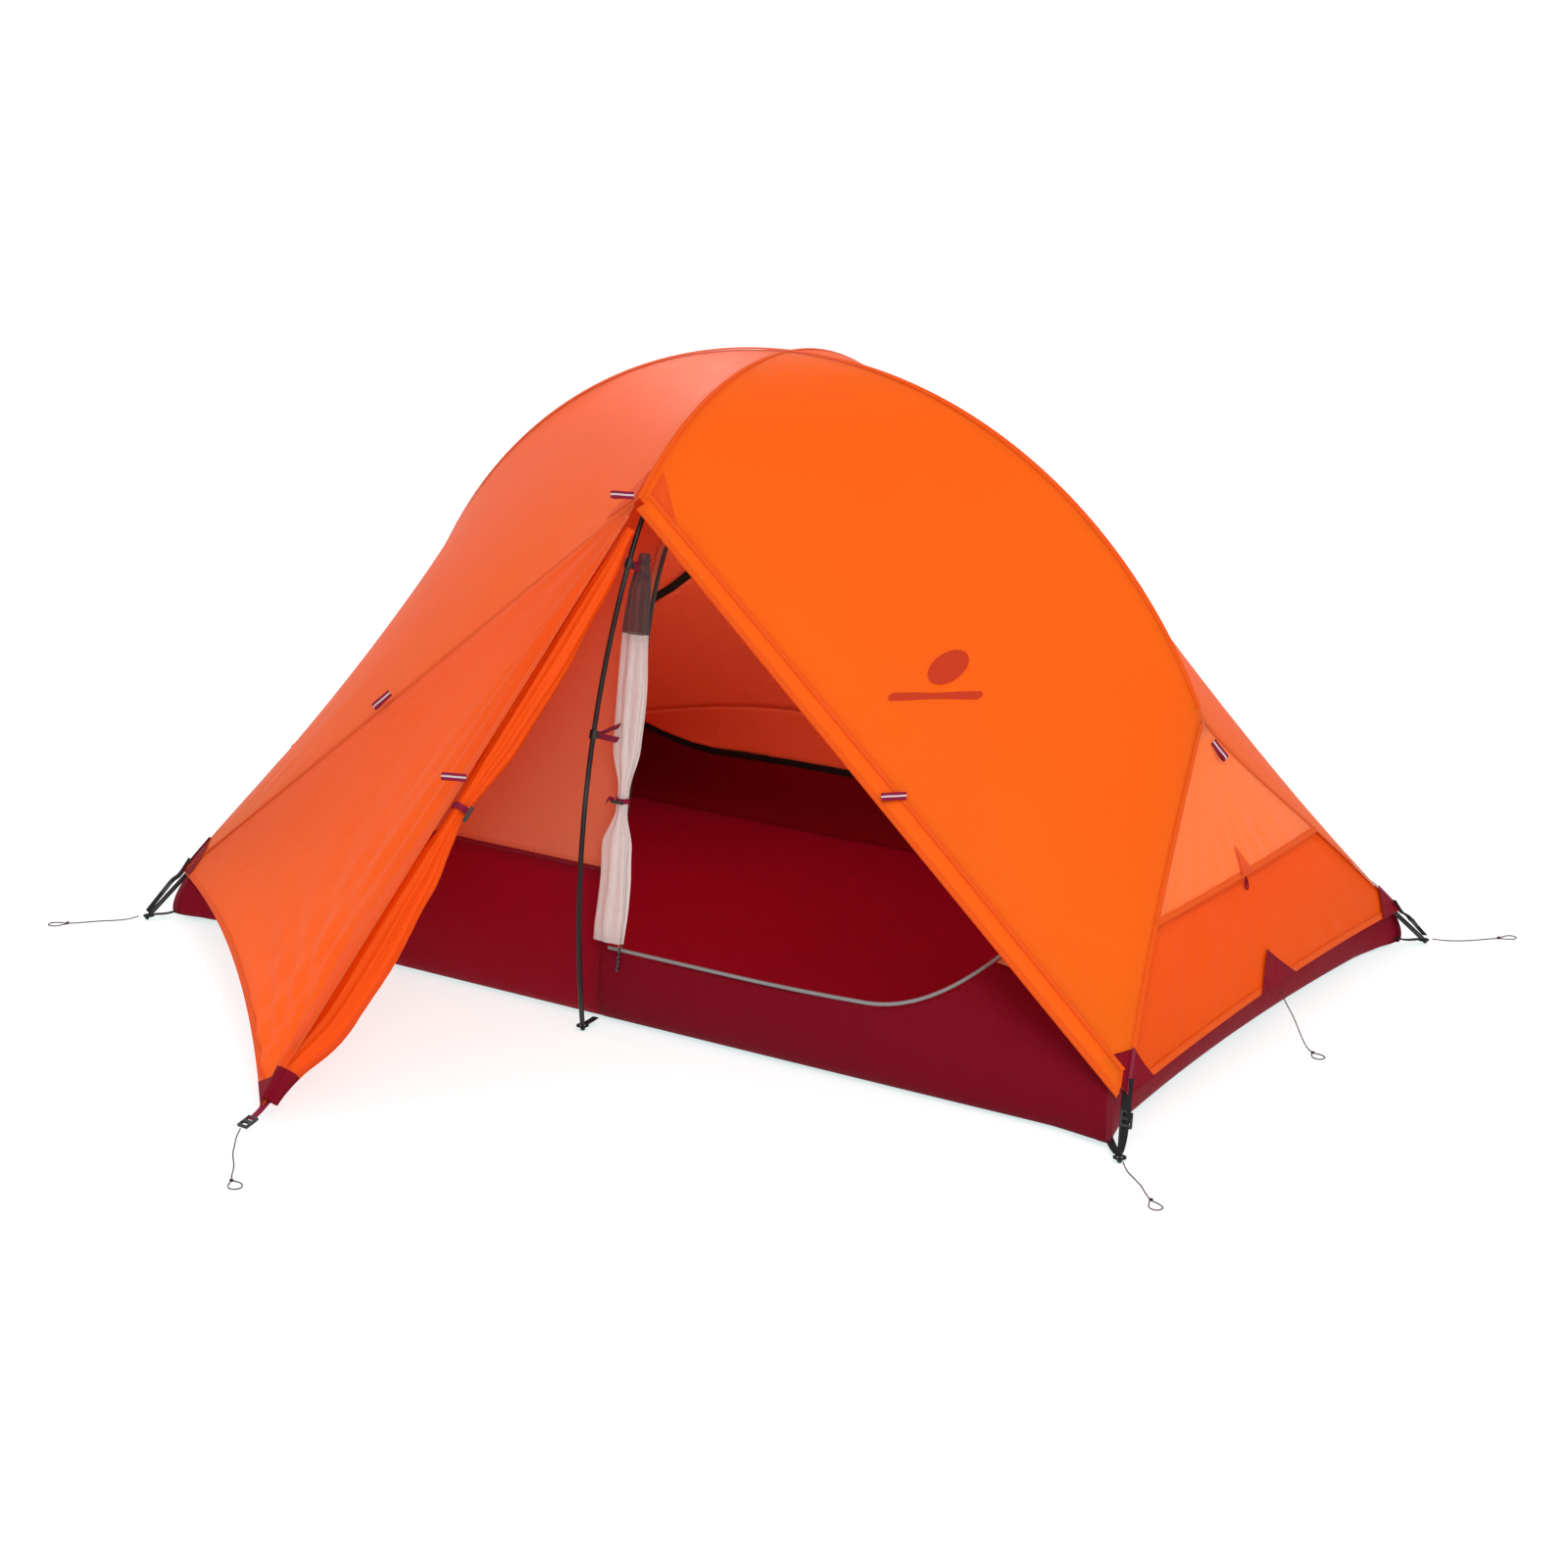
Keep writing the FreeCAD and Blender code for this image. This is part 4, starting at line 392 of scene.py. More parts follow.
def nurbs_curve(name, points, radius, kind, cyclic=False):
    data = bpy.data.curves.new(name, "CURVE")
    data.dimensions = "3D"
    data.bevel_depth = radius
    data.bevel_resolution = 3
    data.resolution_u = 10
    spline = data.splines.new("NURBS")
    spline.points.add(len(points) - 1)
    for spot, point in zip(spline.points, points):
        spot.co = (*point, 1)
    spline.order_u = 3
    spline.use_cyclic_u = cyclic
    if not cyclic:
        spline.use_endpoint_u = True
    thing = bpy.data.objects.new(name, data)
    SCENE.collection.objects.link(thing)
    return dress(thing, kind)


KNOT_POINTS = 24


def knot_piece(name, centre):
    """A small overhand knot: a trefoil of the same cord, pulled tight."""
    points = []
    for index in range(KNOT_POINTS):
        angle = 2 * math.pi * index / KNOT_POINTS
        ring = 2 + math.cos(3 * angle)
        points.append((
            centre.x + 0.0010 * ring * math.cos(2 * angle),
            centre.y + 0.0010 * ring * math.sin(2 * angle),
            0.0030 + 0.0011 * math.sin(3 * angle),
        ))
    return nurbs_curve(name, points, CORD_WIDTH / 2, "guy", cyclic=True)


def make_cords():
    for route, knot_index, length, copies in (
        (CORNER_ROUTE, 5, 0.2397, QUARTERS),
        (STAKE_ROUTE, 6, 0.2942, (("vestibule_near", 1, 1), ("vestibule_far", -1, -1))),
        (MIDDLE_ROUTE, 5, 0.2173, (("right_end", 1, 1), ("left_end", -1, -1))),
    ):
        for name, side_x, side_y in copies:
            points = [(x * side_x, y * side_y, z) for x, y, z in route]
            cord = nurbs_curve("cord_%s" % name, points, CORD_WIDTH / 2, "guy")
            knot = knot_piece("knot_%s" % name, Vector(points[knot_index]))
            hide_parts("guy_cord_%s" % name)
    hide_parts("cord_knots")


make_cords()

# ---------------------------------------------------------------- the lines and surfaces of the tent

RIDGE_RADIUS = 1.0
RIDGE_CENTRE = 0.187
HUB_ANGLE = math.asin(0.914)
ARCH_RADIUS = 0.68
ARCH_CENTRE = 0.505
APEX_ANGLE = math.asin(0.49 / 0.68)
CORNER_AT = 0.87


def vec(x, y, z):
    return Vector((x, y, z))


def mix(a, b, amount):
    return a * (1 - amount) + b * amount


def bezier(points, along):
    a, b, c, d = points
    rest = 1 - along
    return a * rest**3 + b * 3 * rest**2 * along + c * 3 * rest * along**2 + d * along**3


def smooth(low, high, value):
    share = min(1.0, max(0.0, (value - low) / (high - low)))
    return share * share * (3 - 2 * share)


def ridge(along, radius=RIDGE_RADIUS):
    angle = along * HUB_ANGLE
    return vec(radius * math.sin(angle), 0, RIDGE_CENTRE + radius * math.cos(angle))


def arch(along):
    angle = along * APEX_ANGLE
    return vec(0, -ARCH_RADIUS * math.sin(angle), ARCH_CENTRE + ARCH_RADIUS * math.cos(angle))


CENTRE = vec(0, 0, 0.25)
HUB = ridge(1)
TIP = vec(1.12, -0.68, 0)
LEG_SEAM = [HUB, HUB + vec(0.019, -0.09, -0.105), TIP + vec(-0.086, 0.198, 0.226), TIP]
APEX = arch(1)
CORNER = bezier(LEG_SEAM, CORNER_AT)
LEFT_CORNER = vec(-CORNER.x, CORNER.y, CORNER.z)
STAKE = vec(-0.182, -1.36, 0.03)


def leg_seam(along):
    return bezier(LEG_SEAM, along)


def coons(top, bottom, left, right, u, v):
    flat = mix(mix(top(0), top(1), u), mix(bottom(0), bottom(1), u), v)
    return mix(top(u), bottom(u), v) + mix(left(v), right(v), u) - flat


def roof_point(u, v):
    """Near right roof quarter: u from the cross arch to the leg, v from the ridge to the door's edge."""
    return coons(ridge, lambda a: mix(APEX, CORNER, a), arch, lambda a: leg_seam(a * CORNER_AT), u, v)


def end_point(along, across):
    """Right-hand end: along the legs from the hub, across from the near (-1) to the far (1) one."""
    near = leg_seam(along)
    share = (along / CORNER_AT) ** 3
    swell = 1 - across**2
    return vec(near.x + 0.006 * share * swell, near.y * -across, near.z + 0.025 * share * swell)


ZIP_LINE = (CORNER - APEX).normalized()
ZIP_OUT = ZIP_LINE.cross(roof_point(0.5, 0.8) - roof_point(0.5, 1)).normalized()
if ZIP_OUT.y > 0:
    ZIP_OUT = -ZIP_OUT
ZIP_SIDE = ZIP_OUT.cross(ZIP_LINE)
if ZIP_SIDE.z < 0:
    ZIP_SIDE = -ZIP_SIDE
HEM_BOW = 0.046


def vestibule_point(first_top, last_top, corner, stake, u, v):
    """Flat panel whose hem is cut to a curve between its two pegged corners."""
    straight = mix(mix(first_top, last_top, u), mix(corner, stake, u), v)
    along = (stake - corner).normalized()
    inward = first_top - (corner + stake) * 0.5
    inward = (inward - along * inward.dot(along)).normalized()
    return straight + inward * (4 * HEM_BOW * u * (1 - u) * v**2)


PANEL_TOP = APEX + vec(0, -0.001, -0.001)
PANEL_CORNER = LEFT_CORNER + vec(0.001, -0.001, -0.001)
DOOR_SHIFT = ZIP_SIDE * -0.019
DOOR_TOP = APEX + vec(0, -0.012, -0.014) + DOOR_SHIFT
SEAM_STEP = vec(-0.004, 0.001, -0.004)


def fixed_panel_point(u, v):
    return vestibule_point(PANEL_TOP, PANEL_TOP, PANEL_CORNER, STAKE, u, v)


def door_panel_point(u, v):
    return vestibule_point(DOOR_TOP, PANEL_TOP + SEAM_STEP, CORNER + DOOR_SHIFT, STAKE + SEAM_STEP, u, v)


# ---------------------------------------------------------------- making cloth


def flipped(point, side_x, side_y):
    """The matching point in another quarter of the tent."""
    return vec(point.x * side_x, point.y * side_y, point.z)


def quarter_points(points, side_x, side_y):
    return [flipped(point, side_x, side_y) for point in points]


def outward(normal, spot, centre=CENTRE):
    return -normal if normal.dot(spot - centre) < 0 else normal


def steps(first, last, count):
    return [first + (last - first) * i / (count - 1) for i in range(count)]


def link(name, points, faces):
    data = bpy.data.meshes.new(name)
    data.from_pydata([tuple(point) for point in points], [], faces)
    data.update()
    thing = bpy.data.objects.new(name, data)
    SCENE.collection.objects.link(thing)
    return thing


def grid_faces(rows, columns, wrap=False):
    faces = []
    for i in range(rows - 1):
        for j in range(columns if wrap else columns - 1):
            a = i * columns + j
            b = i * columns + (j + 1) % columns
            faces.append((a, b, b + columns, a + columns))
    return faces


def lay_uv(thing, places):
    """Stores each vertex's place on the flat cloth, in metres."""
    layer = thing.data.uv_layers.new(name="cloth")
    loops = thing.data.loops
    for loop in loops:
        layer.data[loop.index].uv = places[loop.vertex_index]


def store_edges(thing, distances):
    layer = thing.data.attributes.new("edge", "FLOAT_VECTOR", "POINT")
    for index, (side, end) in enumerate(distances):
        layer.data[index].vector = (side, end, 0)


def sewn(name, kind, points, faces, places, edges):
    """Cloth with each vertex's place on the flat sheet and its distances from the sewn edges."""
    thing = link(name, points, faces)
    lay_uv(thing, places)
    store_edges(thing, edges)
    return dress(thing, kind)


def line_length(points):
    return sum((b - a).length for a, b in zip(points, points[1:]))


def normals_of(grid, centre):
    rows, columns = len(grid), len(grid[0])
    normals = []
    for i in range(rows):
        line = []
        for j in range(columns):
            down = grid[min(i + 1, rows - 1)][j] - grid[max(i - 1, 0)][j]
            across = grid[i][min(j + 1, columns - 1)] - grid[i][max(j - 1, 0)]
            normal = across.cross(down)
            if normal.length < 1e-9:
                normal = grid[i][j] - centre
            line.append(outward(normal.normalized(), grid[i][j], centre))
        normals.append(line)
    return normals


def cloth(name, kind, point, rows, columns, lift=0.0, relief=None, sides=(1, 1), centre=CENTRE):
    """One sheet of cloth on a grid. relief(u, v, x, y) is its height off the taut surface."""
    side_x, side_y = sides
    us = steps(0, 1, columns)
    vs = steps(0, 1, rows)
    grid = [[point(u, v) for u in us] for v in vs]
    normals = normals_of(grid, centre)
    width = max(line_length(grid[rows // 2]), line_length(grid[-1]) * 0.6)
    length = line_length([line[columns // 2] for line in grid])
    points = []
    places = []
    edges = []
    for i, v in enumerate(vs):
        for j, u in enumerate(us):
            x, y = u * width, v * length
            height = lift + (relief(u, v, x, y) if relief else 0.0)
            points.append(flipped(grid[i][j] + normals[i][j] * height, side_x, side_y))
            places.append((x, y))
            edges.append((min(u, 1 - u) * width, min(v, 1 - v) * length))
    return sewn(name, kind, points, grid_faces(rows, columns), places, edges)


SHARP_ANGLE = 0.7


def crisp(thing):
    """Keeps a thin strip's corners sharp and its faces smooth."""
    shell = bmesh.new()
    shell.from_mesh(thing.data)
    bmesh.ops.recalc_face_normals(shell, faces=shell.faces)
    for edge in shell.edges:
        edge.smooth = len(edge.link_faces) == 2 and edge.calc_face_angle() < SHARP_ANGLE
    shell.to_mesh(thing.data)
    shell.free()


def ribbon(name, kind, centres, acrosses, width, thick=0.0006):
    """Flat strip along a line: a thin closed band, crowned a little, with its UV in metres."""
    profile = ((-0.5, 0.0), (-0.25, 0.75), (0.0, 1.0), (0.25, 0.75), (0.5, 0.0), (0.25, -0.5), (-0.25, -0.5))
    points = []
    places = []
    run = 0.0
    count = len(centres)
    for index, centre in enumerate(centres):
        before = centres[max(index - 1, 0)]
        after = centres[min(index + 1, count - 1)]
        if index:
            run += (centre - before).length
        across = acrosses[index].normalized()
        normal = across.cross((after - before).normalized()).normalized()
        for side, rise in profile:
            points.append(centre + across * (side * width) + normal * (rise * thick))
            places.append((run, side * width))
    faces = grid_faces(count, len(profile), wrap=True)
    last = (count - 1) * len(profile)
    faces.append(tuple(range(len(profile))))
    faces.append(tuple(reversed(range(last, last + len(profile)))))
    thing = link(name, points, faces)
    crisp(thing)
    lay_uv(thing, places)
    return dress(thing, kind)


ALL_SIDES = ((1, 1), (-1, 1), (1, -1), (-1, -1))
BOTH_ENDS = ((1, 1), (-1, -1))


def seam(name, line, side_line, width=0.010, kind="seam", lift=0.0015, sides=((1, 1),), count=60):
    """Felled seam along line(t), once for each pair of sides. side_line(t) is beside it, on the cloth."""
    for number, (side_x, side_y) in enumerate(sides):
        centres = []
        acrosses = []
        for t in steps(0, 1, count):
            here = line(t)
            ahead = line(min(t + 0.01, 1)) - line(max(t - 0.01, 0))
            normal = outward((side_line(t) - here).cross(ahead).normalized(), here)
            centres.append(flipped(here + normal * lift, side_x, side_y))
            acrosses.append(flipped(ahead.cross(normal), side_x, side_y))
        ribbon("%s_%d" % (name, number), kind, centres, acrosses, width)


def hem(name, surface, at, beside, sides, width=0.014, **settings):
    """Seam across a sheet at one place down it."""
    seam(name, lambda t: surface(t, at), lambda t: surface(t, beside), width=width, sides=sides, **settings)


def wobble(x, y, seed, scale_x, scale_y):
    return noise.noise(Vector((x * scale_x, y * scale_y, seed)))


def folds(amount, angle, sharp=1.0):
    """Creases that fan out from a point: amount high, one per turn of angle."""
    return amount * math.copysign(abs(math.sin(angle)) ** sharp, math.sin(angle))


# ---------------------------------------------------------------- fly


def roof_relief(seed, slack):
    def relief(u, v, x, y):
        held = min(1.0, 7 * u, 7 * (1 - u), 9 * v, 9 * (1 - v))
        sway = wobble(x, y, seed, 3.2, 2.1) * 0.0035 * slack
        low_u, low_v = (1 - u) * 1.15, (1 - v) * 1.1
        reach = math.hypot(low_u, low_v)
        turn = math.atan2(low_v, low_u + 1e-6)
        fan = folds(0.0022 * slack, turn * 15 + wobble(x, y, seed + 3, 2, 2) * 2) * math.exp(-reach / 0.25)
        top_reach = math.hypot(u * 1.1, low_v)
        top_turn = math.atan2(low_v, u * 1.1 + 1e-6)
        top_fan = folds(0.0018 * slack, top_turn * 13 + seed) * math.exp(-top_reach / 0.16)
        fine = wobble(x + y * 0.4, y - x * 0.4, seed + 9, 24, 5) * 0.0009 * smooth(0.45, 1.0, v) * slack
        return held * (sway + fan + top_fan + fine)
    return relief


def make_roof():
    for index, (name, side_x, side_y) in enumerate(QUARTERS):
        # the left quarters take the paler, glossier copy of the cloth, a painted reflection
        kind = "fly" if side_x > 0 else "fly_painted_reflection"
        panel = cloth("fly_roof_cloth_%s" % name, kind, roof_point, 84, 100, lift=0.0006,
                      relief=roof_relief(index * 7.3, 1.0 if side_x > 0 else 1.3), sides=(side_x, side_y))
        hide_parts("fly_roof_%s" % name)
    seam("seam_ridge", lambda t: ridge(t * 0.985), lambda t: roof_point(t * 0.985, 0.02),
         sides=((1, 1), (-1, 1)))
    seam("seam_arch", arch, lambda t: roof_point(0.02, t), sides=((1, 1), (1, -1)))
    seam("seam_leg", lambda t: leg_seam(0.03 + t * 0.76),
         lambda t: roof_point(0.98, (0.03 + t * 0.76) / CORNER_AT), sides=ALL_SIDES)
    seam("seam_vestibule", lambda t: mix(APEX, CORNER, 0.02 + t * 0.97),
         lambda t: roof_point(0.02 + t * 0.97, 0.97), sides=((-1, 1), (1, -1)))


END_TOP = 0.1
AWNING_AT = 0.56


def end_relief(seed):
    def relief(u, v, x, y):
        held = min(1.0, 6 * u, 6 * (1 - u), 6 * v + 0.2, 6 * (1 - v) + 0.2)
        pucker = folds(0.0016, u * 60 + wobble(x, y, seed + 2, 5, 1) * 5, 1.5) * smooth(0.6, 1.0, v)
        return held * (wobble(x, y, seed, 6, 3) * 0.003 + wobble(x, y, seed + 5, 22, 4) * 0.0012 + pucker)
    return relief


def awning_point(u, v):
    """Upper piece of the end, loose along its hem."""
    flare = 0.011 * smooth(0.75, 1.0, v) * (1 - (2 * u - 1) ** 2)
    return end_point(0.02 + (AWNING_AT - 0.02) * v, 2 * u - 1) + vec(flare, 0, 0)


def low_end_point(u, v):
    return end_point(0.53 + (CORNER_AT - 0.53) * v, 2 * u - 1)


def make_ends():
    for word, side in (("right", 1), ("left", -1)):
        upper = cloth("fly_awning_cloth_%s" % word, "fly_lit", awning_point, 40, 130, lift=0.0018,
                      relief=end_relief(2.0 * side), sides=(side, side))
        # the lower panel takes the darker copy of the cloth, painted shade below the awning
        below = cloth("fly_end_cloth_%s" % word, "fly_painted_shade", low_end_point, 36, 130, lift=-0.0014,
                      relief=end_relief(5.0 * side), sides=(side, side))
        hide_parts("fly_end_%s" % word)
        sides = ((side, side),)
        hem("hem_awning_%s" % word, awning_point, 0.985, 0.95, sides, width=0.012, lift=0.0028)
        hem("hem_end_%s" % word, low_end_point, 0.985, 0.95, sides, width=0.012, lift=0.0006)


def vestibule_relief(seed, edge_slack):
    """Folds that run from the stake and the apex, and long pleats beside the free edge."""
    def relief(u, v, x, y):
        held = min(1.0, 8 * u, 5 * (1 - u) + 0.25, 8 * v)
        low_u, low_v = (1 - u) * 1.05, (1 - v) * 1.3
        turn = math.atan2(low_v, low_u + 1e-6)
        away = math.hypot(low_u, low_v)
        fan = folds(0.0050, turn * 24 + wobble(x, y, seed, 2, 2) * 3, 1.6) * math.exp(-away / 0.42)
        pleat = folds(0.0042, (1 - u) * 62 + wobble(x, y, seed + 2, 3, 1.2) * 4, 1.8)
        pleat *= smooth(0.55, 0.97, u) * smooth(0.02, 0.25, v) * edge_slack
        top = folds(0.003, u * 16 + wobble(x, y, seed + 1, 1, 2) * 2) * math.exp(-v * 1.3 / 0.4)
        return held * (fan + pleat + top + wobble(x, y, seed + 8, 4, 2.5) * 0.004)
    return relief


def make_vestibules():
    for word, side in (("near", 1), ("far", -1)):
        # the vestibule cloth is crinkled and darkened with painted shade
        panel = cloth("vestibule_cloth_%s" % word, "fly_crinkled_painted_shade",
                      lambda u, v: fixed_panel_point(u, 0.012 + 0.988 * v), 130, 170,
                      relief=vestibule_relief(11.0 + side, 1.0), sides=(side, side), lift=0.0008)
        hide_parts("vestibule_panel_%s" % word)
        hem("hem_vestibule_%s" % word, fixed_panel_point, 0.994, 0.97, ((side, side),))
        hem("edge_vestibule_%s" % word, lambda t, u: fixed_panel_point(u, 0.03 + 0.97 * t), 0.994, 0.97,
            ((side, side),))
    door = cloth("fly_door_cloth_far", "fly_crinkled_painted_shade", lambda u, v: door_panel_point(u, 0.05 + 0.95 * v),
                 100, 90, relief=vestibule_relief(31.0, 0.4), sides=(-1, -1), lift=0.0008)
    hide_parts("fly_door_far")
    hem("hem_door_far", door_panel_point, 0.994, 0.97, ((-1, -1),))


FLAP_LIFT = 0.0055


def flap_point(u, v):
    """Storm flap: v from its seam on the roof to its free edge past the zip. Its lower end is cut aslant."""
    along = 0.012 + 0.976 * u
    if v < 0.62:
        spot = roof_point(along, 0.965 + 0.035 * v / 0.62)
    else:
        spot = roof_point(along, 1) - ZIP_SIDE * 0.020 * (v - 0.62) / 0.38
        spot += ZIP_LINE * 0.012 * (v - 0.62) / 0.38 * smooth(0.9, 1.0, u)
    return spot + ZIP_OUT * FLAP_LIFT


def flap_relief(_, v, x, y):
    return wobble(x, y, 3.3, 9, 14) * 0.0012 * smooth(0.2, 1.0, v) + wobble(x, y, 4.4, 30, 6) * 0.0007 * v


def make_flaps():
    for word, side in (("near", 1), ("far", -1)):
        flap = cloth("storm_flap_cloth_%s" % word, "fly", flap_point, 16, 170, relief=flap_relief,
                     sides=(side, side))
        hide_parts("storm_flap_%s" % word)
        for number, at in enumerate((0.05, 0.9)):
            hem("flap_seam_%s_%d" % (word, number), flap_point, at, at + 0.05, ((side, side),), width=0.009,
                lift=0.0012, count=110)


ZIP_START = 0.04
ZIP_LENGTH = (CORNER - APEX).length - 2 * ZIP_START
ZIP_STEPS = 90
FLY_ZIP = APEX + ZIP_LINE * ZIP_START - ZIP_SIDE * 0.009


def make_fly_zips():
    """Each half is a tape with its coil. The near zip is open, so only the roof's half is there."""
    for word, side, halves in (("near", 1, (1,)), ("far", -1, (1, -1))):
        for half in halves:
            centres = []
            for t in steps(0, 1, ZIP_STEPS):
                spot = FLY_ZIP + ZIP_LINE * (ZIP_LENGTH * t) + ZIP_SIDE * half * 0.0036
                centres.append(flipped(spot, side, side))
            across = flipped(ZIP_SIDE, side, side) * half
            tape = ribbon("fly_zip_tape_%s_%d" % (word, half > 0), "orange_zip", centres,
                          [across] * len(centres), 0.006, thick=0.0007)
            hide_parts("fly_zip_%s" % word)


def roll_radius(along):
    """Radius of the rolled fly door: slack at the top and tied in the middle."""
    radii = (0.010, 0.024, 0.031, 0.029, ROLL_TIED, 0.032, 0.038, 0.035, 0.016)
    place = along * (len(radii) - 1)
    low = min(int(place), len(radii) - 2)
    share = smooth(0, 1, place - low)
    return radii[low] * (1 - share) + radii[low + 1] * share


ROLL_LINE = (STAKE - APEX).normalized()
ROLL_SIDE = (STAKE - APEX).cross(LEFT_CORNER - APEX).normalized()
if ROLL_SIDE.z > 0:
    ROLL_SIDE = -ROLL_SIDE
ROLL_ACROSS = ROLL_LINE.cross(ROLL_SIDE).normalized()
if ROLL_ACROSS.x < 0:
    ROLL_ACROSS = -ROLL_ACROSS
ROLL_TURNS = 4.6
ROLL_WIDTH = 0.62
ROLL_LENGTH = 1.45
ROLL_LINED_ROWS = 7
ROLL_TIED = 0.0145


def make_rolled_door():
    """The near fly door, rolled back: one spiral of cloth with long folds, tied at its middle."""
    rows, columns = 120, 260
    points = []
    places = []
    edges = []
    for along in steps(0, 1, rows):
        radius = roll_radius(along)
        tucked = smooth(0.0, 0.012, radius - ROLL_TIED)
        drop = (0.010 + 0.80 * radius) * (1 - 0.8 * smooth(0.84, 1, along))
        centre = mix(APEX, STAKE, 0.045 + 0.940 * along) + ROLL_SIDE * drop
        centre -= ROLL_ACROSS * (0.003 + 0.55 * radius * tucked)
        for turn in steps(0, 1, columns):
            angle = turn * ROLL_TURNS * 2 * math.pi + 1.2 * math.sin(along * 5)
            wave = 1 + 0.10 * math.sin(3 * angle + along * 9) * turn
            wave += 0.10 * math.sin(11 * angle + 4 * noise.noise(Vector((0, 0, along * 5)))) * turn
            wave += 0.20 * noise.noise(Vector((math.cos(angle) * 2.2, math.sin(angle) * 2.2, along * 3.0)))
            reach = radius * (0.22 + 0.78 * turn) * wave
            side = ROLL_ACROSS * math.cos(angle) * reach * 1.12 + ROLL_SIDE * math.sin(angle) * reach * 0.92
            points.append(centre + side)
            places.append((turn * ROLL_WIDTH, along * ROLL_LENGTH))
            edges.append(((1 - turn) * ROLL_WIDTH, 0.5))
    thing = sewn("fly_door_rolled_cloth", "fly_crinkled_painted_shade", points, grid_faces(rows, columns), places, edges)
    thing.data.materials.append(MATERIALS["tub"])
    for face in thing.data.polygons[(rows - ROLL_LINED_ROWS) * (columns - 1):]:
        face.material_index = 1
    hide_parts("fly_door_near_rolled")


make_roof()
make_ends()
make_vestibules()
make_flaps()
make_fly_zips()
make_rolled_door()

# ---------------------------------------------------------------- inner tent

INNER_RIDGE = 0.94
INNER_TOP = RIDGE_CENTRE + INNER_RIDGE
SHOULDER_RADIUS = 0.505
SHOULDER_ANGLE = math.radians(78.7)
INNER_HUB = ridge(1, INNER_RIDGE)
INNER_LEG = [INNER_HUB, INNER_HUB + vec(0.021, -0.07, -0.104), vec(0.985, -0.44, 0.225),
             vec(1.055, -0.615, 0.04)]
TUB_AT = 0.77
TUB_CORNER = bezier(INNER_LEG, TUB_AT)
TUB_MIDDLE = vec(0, -0.585, 0.285)
SILL = 0.146
END_BOW = 0.030
INNER_LIFT = -0.001


def inner_leg(along):
    return bezier(INNER_LEG, along)


def inner_arch(along):
    drop = SHOULDER_RADIUS * (1 - math.cos(SHOULDER_ANGLE))
    shoulder = vec(0, -SHOULDER_RADIUS * math.sin(SHOULDER_ANGLE), INNER_TOP - drop)
    if along < 0.6:
        angle = SHOULDER_ANGLE * along / 0.6
        return vec(0, -SHOULDER_RADIUS * math.sin(angle), INNER_TOP - SHOULDER_RADIUS * (1 - math.cos(angle)))
    return mix(shoulder, TUB_MIDDLE, (along - 0.6) / 0.4)


def tub_top(along):
    straight_end = vec(0.3, TUB_MIDDLE.y, TUB_MIDDLE.z)
    if along < 0.25:
        return mix(TUB_MIDDLE, straight_end, along / 0.25)
    bend = (straight_end, straight_end + vec(0.26, 0, 0), TUB_CORNER + vec(-0.26, 0.02, 0.07), TUB_CORNER)
    return bezier(bend, (along - 0.25) / 0.75)


def wall_point(u, v):
    return coons(lambda a: ridge(a, INNER_RIDGE), tub_top, inner_arch, lambda a: inner_leg(a * TUB_AT), u, v)


def tub_point(u, v):
    top = tub_top(u)
    spread = u**3
    pull = smooth(0.90, 1.0, u)
    wall = vec(top.x + 0.062 * spread, -0.640 + 0.015 * spread, 0.120)
    edge = vec(top.x + 0.072 * spread + 0.010 * pull, -0.655 + 0.015 * spread - 0.012 * pull, 0.010 * pull)
    foot = vec(top.x + 0.032 * spread + 0.036 * pull, -0.592 - 0.036 * pull, 0.001 + 0.008 * pull)
    return bezier((top, wall, edge, foot), v)


def end_wall_point(along, across):
    near = inner_leg(along)
    return vec(near.x + 0.006 * (1 - across**2), near.y * -across, near.z)


def end_tub_point(along, across):
    top = end_wall_point(TUB_AT, across)
    bow = END_BOW * (1 - across**2)
    pull = smooth(0.82, 1.0, abs(across))
    wall = vec(TUB_CORNER.x + 0.062 - bow * 0.6, 0.625 * across, 0.120)
    edge = vec(TUB_CORNER.x + 0.076 - bow + 0.006 * pull, (0.640 + 0.012 * pull) * across, 0.010 * pull)
    foot = vec(TUB_CORNER.x + 0.034 - bow + 0.034 * pull, (0.586 + 0.042 * pull) * across,
               0.001 + 0.008 * pull)
    return bezier((top, wall, edge, foot), along)


def arc_points(first, middle, last, count):
    """Points on the circle through three points of the XZ plane."""
    (ax, ay), (bx, by), (cx, cy) = first, middle, last
    scale = 2 * (ax * (by - cy) + bx * (cy - ay) + cx * (ay - by))
    a2, b2, c2 = ax * ax + ay * ay, bx * bx + by * by, cx * cx + cy * cy
    ox = (a2 * (by - cy) + b2 * (cy - ay) + c2 * (ay - by)) / scale
    oy = (a2 * (cx - bx) + b2 * (ax - cx) + c2 * (bx - ax)) / scale
    start, halfway, end = (math.atan2(y - oy, x - ox) for x, y in (first, middle, last))
    turn = math.pi * 2
    if (halfway - start) % turn > (end - start) % turn:
        span = (end - start) % turn - turn
    else:
        span = (end - start) % turn
    radius = math.hypot(ax - ox, ay - oy)
    angles = [start + span * i / count for i in range(count)]
    return [(ox + radius * math.cos(a), oy + radius * math.sin(a)) for a in angles]


